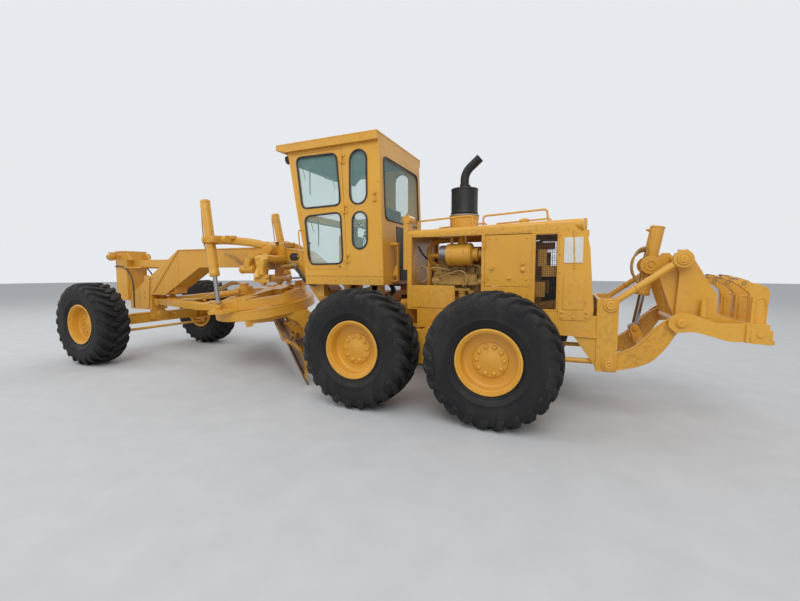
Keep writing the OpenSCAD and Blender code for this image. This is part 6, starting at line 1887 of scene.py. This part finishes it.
# Blade, circle and their cylinders
# The moldboard is bare and rusty where the soil runs, and wears a bolted cutting edge. Each
# cylinder round it has a screwed gland, a welded cap and two ports.
def cylinder_dress(name, body, start, end, r, port=None, cap=True):
    """Gland ring, cap ring and ports for a cylinder's barrel from its cap to its gland."""
    start, end = Vector(start), Vector(end)
    way = (end - start).normalized()
    bm = bmesh.new()
    spun(bm, end - way * 0.050, way, [(r * 0.9, 0), (r + 0.003, 0.0), (r + 0.006, 0.005),
                                      (r + 0.006, 0.040),
         (r + 0.002, 0.046), (r + 0.002, 0.050), (r * 0.74, 0.0505), (r * 0.74, 0.03)], 32)
    if cap:
        spun(bm, start, way, [(0, -0.001), (r * 0.9, -0.001), (r + 0.003, 0.004),
                              (r + 0.003, 0.022), (r, 0.026),
             (r * 0.6, 0.026), (r * 0.6, 0.003), (0, 0.003)], 32)
    if port is not None:
        out = Vector(port)
        out = (out - way * out.dot(way)).normalized()
        for spot in (start + way * 0.055, end - way * 0.080):
            spun(bm, spot + out * (r - 0.006), out,
                 [(0, 0), (0.019, 0), (0.019, 0.020), (0.014, 0.024),
                 (0.014, 0.040), (0, 0.040)], 14)
    piece(name, bm, YELLOW, body, smooth=35.0)


def blade_pieces():
    mid_x, mid_z, r, lean = 0.15586, -0.84748, 0.470, math.radians(18)

    def on_back(turn, out):
        a = math.radians(turn) + lean
        return (mid_x - (r + 0.025 + out) * math.cos(a), mid_z + (r + 0.025 + out) * math.sin(a))

    def add(bm, points, start, depth):
        own = bmesh.new()
        slab(own, points, start, depth)
        placed(bm, own, turned)

    low, high = -2.485, 1.785
    foot = Vector((-0.300, -1.175))
    up = Vector((math.sin(lean), math.cos(lean)))
    front = Vector((up.y, -up.x))
    bm = bmesh.new()
    for i in range(7):
        start = low + 0.610 * i + 0.004
        end = min(start + 0.602, high - 0.004)
        points = [foot + up * d + front * w for d,
                  w in ((0.178, 0.002), (0.001, 0.002), (0.001, -0.010),
                                                        (0.012, -0.0235), (0.178, -0.0235))]
        add(bm, [tuple(p) for p in points], start, end - start)
    piece("cutting_edges", bm, EDGE, "blade", (), 0.002)

    bm = bmesh.new()
    for a0, a1, proud in ((43.5, 45.5, 0.003), (-46.5, -44.5, 0.012)):
        add(bm, [on_back(a0, 0), on_back(a1, 0), on_back(a1, proud), on_back(a0, proud)], low,
            high - low)
    for y in (low, high - 0.016):
        points = [on_back(44 - 8 * k, -0.027) for k in range(12)]
        points += [on_back(-44 + 8 * k, 0.006) for k in range(12)]
        add(bm, points, y, 0.016)
    for y in (-1.70, -0.85, 0.0, 0.74, 1.10):
        points = [on_back(24 - 5 * k, 0.0) for k in range(10)] + [on_back(-21 + 5 * k,
                                                                          0.030) for k in range(10)]
        add(bm, points, y, 0.014)
    piece("moldboard_ribs", bm, YELLOW, "blade", (), 0.002)

    places, ways = [], []
    a = math.radians(-41.5) + lean
    for i in range(28):
        y = low + 0.075 + 0.1524 * i
        if y > high - 0.05:
            break
        x, z = on_back(-41.5, 0.0)
        places.append(turned((x, y, z)))
        ways.append(tuple((turned((-math.cos(a), y, math.sin(a))) - turned((0, y,
                                                                            0))).normalized()))
    studs("edge_bolts", places, ways, nut_form(0.015, 0.016, False), EDGE, "blade")

    start = Vector(turned((0.340, 0.545, -0.295)))
    end = Vector(turned((-0.795, 0.545, -0.379)))
    way = (end - start).normalized()
    cylinder_dress("tip_cylinder_rings", "tip_barrel", start + way * 0.045, start + way * 0.385,
                   0.048, (0, 1, 0.3))
    bm = bmesh.new()
    spots = [start + way * d for d in (0.10, 0.14, 0.22, 0.30, 0.34)]
    up = (turned((0, 0, 1)) - turned((0, 0, 0))).normalized()
    tube(bm, smoothed([spots[0] + up * 0.05, spots[1] + up * 0.078, spots[2] + up * 0.080,
                       spots[3] + up * 0.078, spots[4] + up * 0.05]), 0.009, 8)
    piece("tip_cylinder_line", bm, LINE, "tip_barrel")


blade_pieces()
way = (leant((-3.150, -0.640, 0.225)) - SHIFT_PIN).normalized()
cylinder_dress("shift_cylinder_rings", "shift_barrel", SHIFT_PIN - way * 0.055,
               SHIFT_PIN + way * 0.75, 0.060, None, False)
for label, side in (("left", 1), ("right", -1)):
    start, end = Vector((-0.060, side * 0.400, 1.250)), Vector((1.120, side * 0.330, 1.250))
    way = (end - start).normalized()
    cylinder_dress("bend_cylinder_rings_" + label, "bend_barrel_" + label, start + way * 0.07,
                   start + way * 0.62, 0.055, (0, 0, 1))


# Ripper
# Two curved lower arms and two tube links carry the carriage, whose lift cylinder hangs in
# a trunnion. Shanks with worn points are stored points up in the holders behind its beam.
PIN_A, PIN_C = Vector((-2.010, 0.650)), Vector((-2.010, 1.320))
PIN_B, PIN_D = Vector((-2.671, 1.158)), Vector((-2.671, 1.828))
RIPPER_TOP, RIPPER_EYE = Vector((-2.440, 0, 1.770)), Vector((-2.316, 0, 1.012))


def pin_head(bm, spot, side, out, r=0.075, inner=0.041):
    """A pin's stepped head: a flat ring, a groove and the pin's end with its keeper."""
    spun(bm, (spot[0], side * out, spot[1]), (0, side, 0),
         [(0, -0.004), (r, -0.004), (r, 0.010), (r * 0.93, 0.016),
         (r * 0.80, 0.016), (r * 0.76, 0.012), (inner * 1.25, 0.012), (inner * 1.18, 0.024),
         (inner, 0.027),
         (inner * 0.62, 0.027), (inner * 0.5, 0.022), (inner * 0.30, 0.022), (inner * 0.22, 0.030),
         (0, 0.031)], 36)


def curve(points, cuts=5):
    """An outline's edge drawn as a soft curve, in the side view."""
    return [(p.x, p.y) for p in smoothed([(x, z, 0) for x, z in points], cuts)]


def ripper_arm_pieces():
    under = curve([(-2.020, 0.574), (-2.070, 0.582), (-2.240, 0.624), (-2.400, 0.700),
                   (-2.490, 0.792), (-2.556, 0.885), (-2.610, 0.985), (-2.668, 1.085)])
    over = curve([(-2.640, 1.225), (-2.600, 1.206), (-2.520, 1.148), (-2.430, 1.058),
                  (-2.350, 0.952),
                  (-2.265, 0.862), (-2.160, 0.796), (-2.040, 0.737), (-2.010, 0.726)])
    bm = bmesh.new()
    for side in (1, -1):
        side_slab(bm, under + over, side, 0.469, 0.541)
        for edge, r in ((over[3:-2], 0.010), (under[2:-1], 0.007)):
            tube(bm, [(x, side * 0.541, z) for x, z in edge], r, 8)
    for s in (1, -1):
        spun(bm, (-2.370, s * 0.10, 0.850), (0, s, 0),
             [(0.058, 0), (0.066, 0.004), (0.066, 0.016), (0.058, 0.020)], 28)
        spun(bm, (-2.370, s * 0.455, 0.850), (0, s, 0),
             [(0.058, 0), (0.072, 0.006), (0.074, 0.015), (0.06, 0.015)], 28)
    own = [(-2.430, 0.86), (-2.330, 0.80), (-2.262, 1.000), (-2.275, 1.045), (-2.316, 1.066),
           (-2.357, 1.045)]
    for side in (1, -1):
        side_slab(bm, taken_round(own, 0.012, 3), side, 0.054, 0.086)
        pin_head(bm, (RIPPER_EYE.x, RIPPER_EYE.z), side, 0.086, 0.034, 0.020)
    piece("ripper_arm_plates", bm, YELLOW, "ripper_arms", smooth=32.0)

    bm = bmesh.new()
    for side in (1, -1):
        way = Vector((PIN_D.x - PIN_C.x, 0, PIN_D.y - PIN_C.y)).normalized()
        spot = Vector((PIN_C.x, side * 0.505, PIN_C.y))
        spun(bm, spot + way * 0.305, way,
             [(0.034, 0), (0.042, 0.006), (0.042, 0.020), (0.034, 0.026)], 24)
        for d in (0.065, 0.735):
            spun(bm, spot + way * d, way,
                 [(0.034, 0), (0.044, 0.004), (0.044, 0.018), (0.034, 0.03)], 24)
    piece("ripper_link_rings", bm, YELLOW, "ripper_links", smooth=35.0)


def ripper_carriage_pieces():
    bm = bmesh.new()
    outer = curve([(-2.640, 1.255), (-2.700, 1.264), (-2.797, 1.240), (-2.900, 1.200),
                   (-2.991, 1.170), (-3.100, 1.166),
                   (-3.212, 1.180)]) + curve([(-3.212, 0.998), (-3.120, 0.990), (-3.049, 0.996),
                                              (-2.920, 1.036),
                                              (-2.791, 1.066), (-2.700, 1.060), (-2.625, 1.060),
                                              (-2.575, 1.095), (-2.553, 1.150), (-2.585, 1.215),
                                              (-2.640, 1.255)])[:-1]
    cheek = [(-2.636, 1.080), (-2.640, 1.300), (-2.662, 1.500), (-2.656, 1.700), (-2.606, 1.770),
             (-2.586, 1.828),
             (-2.606, 1.886), (-2.655, 1.920), (-2.723, 1.932), (-2.785, 1.825), (-2.885, 1.645),
             (-2.989, 1.462), (-3.002, 1.250), (-3.000, 1.080)]
    sector = curve([(-2.560, 1.790), (-2.490, 1.720), (-2.478, 1.655)], 3) + [(-2.600, 1.300),
                                                                              (-2.628, 1.215)] + \
        curve([(-2.672, 1.290), (-2.700, 1.430), (-2.700, 1.570), (-2.672, 1.700), (-2.620, 1.800)],
              4)
    for side in (1, -1):
        side_slab(bm, outer, side, 0.547, 0.599)
        side_slab(bm, cheek, side, 0.409, 0.461)
        side_slab(bm, sector, side, 0.366, 0.402)
        spun(bm, (PIN_D.x, side * 0.543, PIN_D.y), (0, side, 0),
             [(0, 0), (0.093, 0), (0.093, 0.010), (0.088, 0.014), (0, 0.014)], 40)
        spun(bm, (PIN_D.x, side * 0.458, PIN_D.y), (0, side, 0),
             [(0, 0), (0.085, 0), (0.08, 0.010), (0, 0.010)], 40)
        pin_head(bm, (PIN_D.x, PIN_D.y), side, 0.558, 0.062, 0.031)
        pin_head(bm, (PIN_B.x, PIN_B.y), side, 0.600, 0.052, 0.034)
        tube(bm, [(-2.870, side * 0.520, 1.225), (-2.870, side * 0.520, 1.392)], 0.030, 20)
        tube(bm, [(-2.870, side * 0.520, 1.390), (-2.870, side * 0.520, 1.405)], 0.022, 20)
        side_slab(bm, taken_round([(-3.237, 0.985), (-3.237, 1.125), (-3.405, 1.125),
                                   (-3.405, 0.985)], 0.018, 4), side,
                  0.600, 0.626)
        disc(bm, (-3.309, side * 0.626, 1.080), (0, side, 0), 0.029, 0.014, 24)
        side_slab(bm, [(-3.347, 0.978), (-3.347, 1.020), (-3.430, 1.020), (-3.430, 0.978)], side,
                  0.52, 0.60)
        own = taken_round([(-2.640, 1.870), (-2.430, 1.840), (-2.375, 1.770), (-2.425, 1.705),
                           (-2.590, 1.590),
                           (-2.660, 1.30), (-2.700, 1.30), (-2.700, 1.870)], 0.030, 4)
        side_slab(bm, own, side, 0.094, 0.126)
        spun(bm, (RIPPER_TOP.x, side * 0.124, RIPPER_TOP.z), (0, side, 0),
             [(0, 0), (0.106, 0), (0.106, 0.016),
             (0.100, 0.022), (0.068, 0.022), (0.064, 0.030), (0.046, 0.030), (0.042, 0.020),
             (0.026, 0.020), (0.022, 0.034), (0, 0.034)], 44)
    piece("ripper_carriage_plates", bm, YELLOW, "ripper_carriage", (), 0.004)

    bm, worn = bmesh.new(), bmesh.new()
    shank = curve([(-3.284, 1.180), (-3.262, 1.300), (-3.258, 1.440), (-3.236, 1.500),
                   (-3.160, 1.560),
                   (-3.115, 1.588)]) + curve([(-3.150, 1.622), (-3.250, 1.590), (-3.348, 1.560),
                                              (-3.392, 1.532),
                                              (-3.410, 1.478), (-3.398, 1.380), (-3.372, 1.180)])
    for y in (-0.450, 0.0, 0.450):
        slab(bm, shank, y - 0.032, 0.064)
        slab(bm, [(-3.245, 1.602), (-3.150, 1.638), (-3.070, 1.654), (-3.075, 1.618),
                  (-3.130, 1.575), (-3.225, 1.530), (-3.245, 1.556)], y - 0.037, 0.074)
        slab(worn, [(-3.100, 1.652), (-3.012, 1.668), (-2.996, 1.660), (-3.060, 1.616),
                    (-3.100, 1.592)], y - 0.029,
             0.058)
        for s in (1, -1):
            ring = [(-3.200 + 0.017 * math.cos(2 * math.pi * k / 12), y + s * 0.037,
                     1.578 + 0.017 * math.sin(2 * math.pi * k / 12)) for k in range(12)]
            tube(worn, ring, 0.004, 6, True)
            slab(worn, [(-3.150, 1.626), (-3.080, 1.634), (-3.080, 1.622), (-3.150, 1.610)],
                 y + s * 0.0372 - 0.001, 0.002)
    piece("ripper_shanks", bm, YELLOW, "ripper_carriage", (), 0.004)
    piece("ripper_points", worn, EDGE, "ripper_carriage", (), 0.006)
    bm = bmesh.new()
    for y in (-0.450, 0.0, 0.450):
        for s in (1, -1):
            arch = [(-3.296, 1.182)] + [(-3.338 + 0.042 * math.cos(math.pi * k / 12),
                    1.392 + 0.042 * math.sin(math.pi * k / 12)) for k in range(13)] + [(-3.380,
                                                                                        1.182)]
            tube(bm, [(x, y + s * 0.060, z) for x, z in arch], 0.0075, 8)
    piece("holder_arches", bm, YELLOW, "ripper_carriage")

    bm = bmesh.new()
    for i in range(3):
        tube(bm, smoothed([(-2.330, 0.10 - 0.03 * i, 1.560), (-2.262, 0.11 - 0.03 * i, 1.690),
                           (-2.262, 0.11 - 0.03 * i, 1.830),
                           (-2.320, 0.10 - 0.03 * i, 1.955 - 0.02 * i),
                           (-2.400, 0.08 - 0.03 * i, 1.985 - 0.02 * i)]), 0.0125, 8)
    tube(bm, [(-2.352, 0.085, 1.50), (-2.395, 0.085, 1.860), (-2.410, 0.085, 1.950)], 0.012, 8)
    piece("ripper_hoses", bm, LINE, "ripper_barrel")
    cylinder_dress("ripper_cylinder_rings", "ripper_barrel",
                   RIPPER_TOP + Vector((0.0743, 0, -0.4540)) * -1.013,
                   RIPPER_TOP + Vector((0.1612, 0, -0.9870)) * 0.360, 0.075, (1, 0, 0.2))


ripper_arm_pieces()
ripper_carriage_pieces()


# Tail of the rear frame
# The posts that hold the ripper carry a cover strip, stepped pin heads and a ledge, and the
# radiator's side plate laps over the rail with bolts along its foot.
def tail_pieces():
    bm = bmesh.new()
    lap = taken_round([(-1.464, 1.134), (-1.464, 1.250), (-1.838, 1.262), (-1.806, 1.190),
                       (-1.786, 1.134)], 0.020, 4)
    for side in (1, -1):
        side_slab(bm, [(-1.875, 0.567), (-1.875, 1.380), (-2.040, 1.380), (-2.040, 0.567)], side,
                  0.595, 0.613)
        for spot in (PIN_C, PIN_A):
            pin_head(bm, spot, side, 0.613, 0.076, 0.041)
        side_slab(bm, lap, side, 0.595, 0.608)
        side_slab(bm, [(-1.635, 0.944), (-1.888, 0.944), (-1.888, 0.960), (-1.635, 0.960)], side,
                  0.595, 0.618)
        tube(bm, [(-1.450, side * 0.550, 0.659), (-1.900, side * 0.550, 0.665)], 0.030, 18)
        box(bm, (-1.915, min(side * 0.44, side * 0.56), 1.366),
            (-1.885, max(side * 0.44, side * 0.56), 1.388))
    piece("tail_plates", bm, YELLOW, "rear_frame", (), 0.003)
    places = [(x, side * 0.608, z) for side in (1, -1)
              for x, z in [(-1.50, 1.166), (-1.629, 1.166), (-1.765, 1.172), (-1.50, 1.222),
                           (-1.765, 1.225)]]
    studs("tail_bolts", places, [(0, math.copysign(1, p[1]), 0) for p in places],
          nut_form(0.015, 0.012, True), YELLOW, "rear_frame")


tail_pieces()


# Hinge, column and painted shade on the cab's rear wall
# Between the cab and the engine stand the hinge's ears, a perforated column whose holes are
# dark discs of painted shade, its brackets, and hoses that cross from one frame to the other
# with slack.
def hinge_pieces():
    bm = bmesh.new()
    for z0, z1 in ((1.555, 1.572), (2.060, 2.100)):
        box(bm, (0.636, 0.40, z0), (0.786, 0.50, z1))
    box(bm, (0.640, 0.415, 1.572), (0.655, 0.485, 2.060))
    slab(bm, [(0.645, 1.800), (0.665, 1.800), (0.716, 1.660), (0.716, 1.630), (0.660, 1.640)],
         0.425, 0.05)
    box(bm, (0.830, 0.500, 1.357), (0.992, 0.600, 1.499))
    slab(bm, [(1.40, 1.500), (1.50, 1.500), (1.489, 1.400), (1.440, 1.335), (1.410, 1.335)], 0.44,
         0.08)
    tube(bm, [(1.257, 0.45, 1.490), (1.249, 0.45, 1.380)], 0.018, 12)
    spun(bm, (0.590, 0.0, 1.185), (0, 0, 1),
         [(0, 0), (0.110, 0), (0.110, 0.016), (0.085, 0.022), (0.078, 0.040),
         (0.040, 0.044), (0, 0.044)], 32)
    piece("hinge_brackets", bm, YELLOW, "front_frame", (), 0.003)

    # The column's holes are flat dark discs: painted shade inside the holes.
    places = [(0.6395, 0.45, 1.60 + 0.042 * i) for i in range(11)]
    studs("column_holes", places, (-1, 0, 0), nut_form(0.008, 0.002, False), DARK, "front_frame")

    bm = bmesh.new()
    for i in range(3):
        tube(bm, smoothed([(0.78 + 0.05 * i, 0.36 - 0.05 * i, 1.50),
                           (0.74 + 0.05 * i, 0.35 - 0.05 * i, 1.43),
                           (0.80 + 0.04 * i, 0.33 - 0.05 * i, 1.36 - 0.02 * i),
                           (0.98, 0.34 - 0.05 * i, 1.35),
                           (1.10, 0.35 - 0.05 * i, 1.43), (1.12, 0.35 - 0.05 * i, 1.50)]), 0.014, 8)
    tube(bm, [(0.600, 0.30, 1.502), (0.819, 0.30, 1.502)], 0.020, 12)
    piece("hinge_hoses", bm, HOSE, "front_frame")

    # A dark sheet on the cab's rear wall is painted shade, where the wall is seen through the gap
    # between the cab and the engine.
    bm = bmesh.new()
    low, high = 1.560, 2.350
    slab(bm, [(rear_x(low) - 0.007, low), (rear_x(high) - 0.007, high),
              (rear_x(high) + 0.004, high), (rear_x(low) + 0.004, low)], -0.620, 0.900)
    piece("noise_mat", bm, DARK, "front_frame", (), 0.002)

    bm = bmesh.new()
    loop = [(0.29 + 0.075 * math.cos(2 * math.pi * k / 20), 0.41,
             1.66 + 0.110 * math.sin(2 * math.pi * k / 20))
            for k in range(17)]
    tube(bm, loop, 0.0095, 8)
    tube(bm, smoothed([(0.05, 0.38, 1.62), (-0.07, 0.40, 1.66), (-0.22, 0.41, 1.705),
                       (-0.31, 0.41, 1.665), (-0.33, 0.41, 1.57), (-0.28, 0.40, 1.50)]), 0.0095, 8)
    tube(bm, smoothed([(0.20, 0.40, 1.72), (0.12, 0.41, 1.745), (-0.02, 0.40, 1.73),
                       (-0.10, 0.38, 1.71)]), 0.0085, 8)
    piece("engine_loops", bm, LINE, "rear_frame")

    bm = bmesh.new()
    spun(bm, (-0.070, 0.38, 1.945), (1, 0, 0),
         [(0, 0), (0.110, 0), (0.110, 0.010), (0.102, 0.016), (0.102, 0.100),
         (0.096, 0.112), (0.030, 0.118), (0.030, 0.128), (0, 0.128)], 32)
    piece("air_cleaner_cap", bm, GREY, "rear_frame", smooth=35.0)


hinge_pieces()
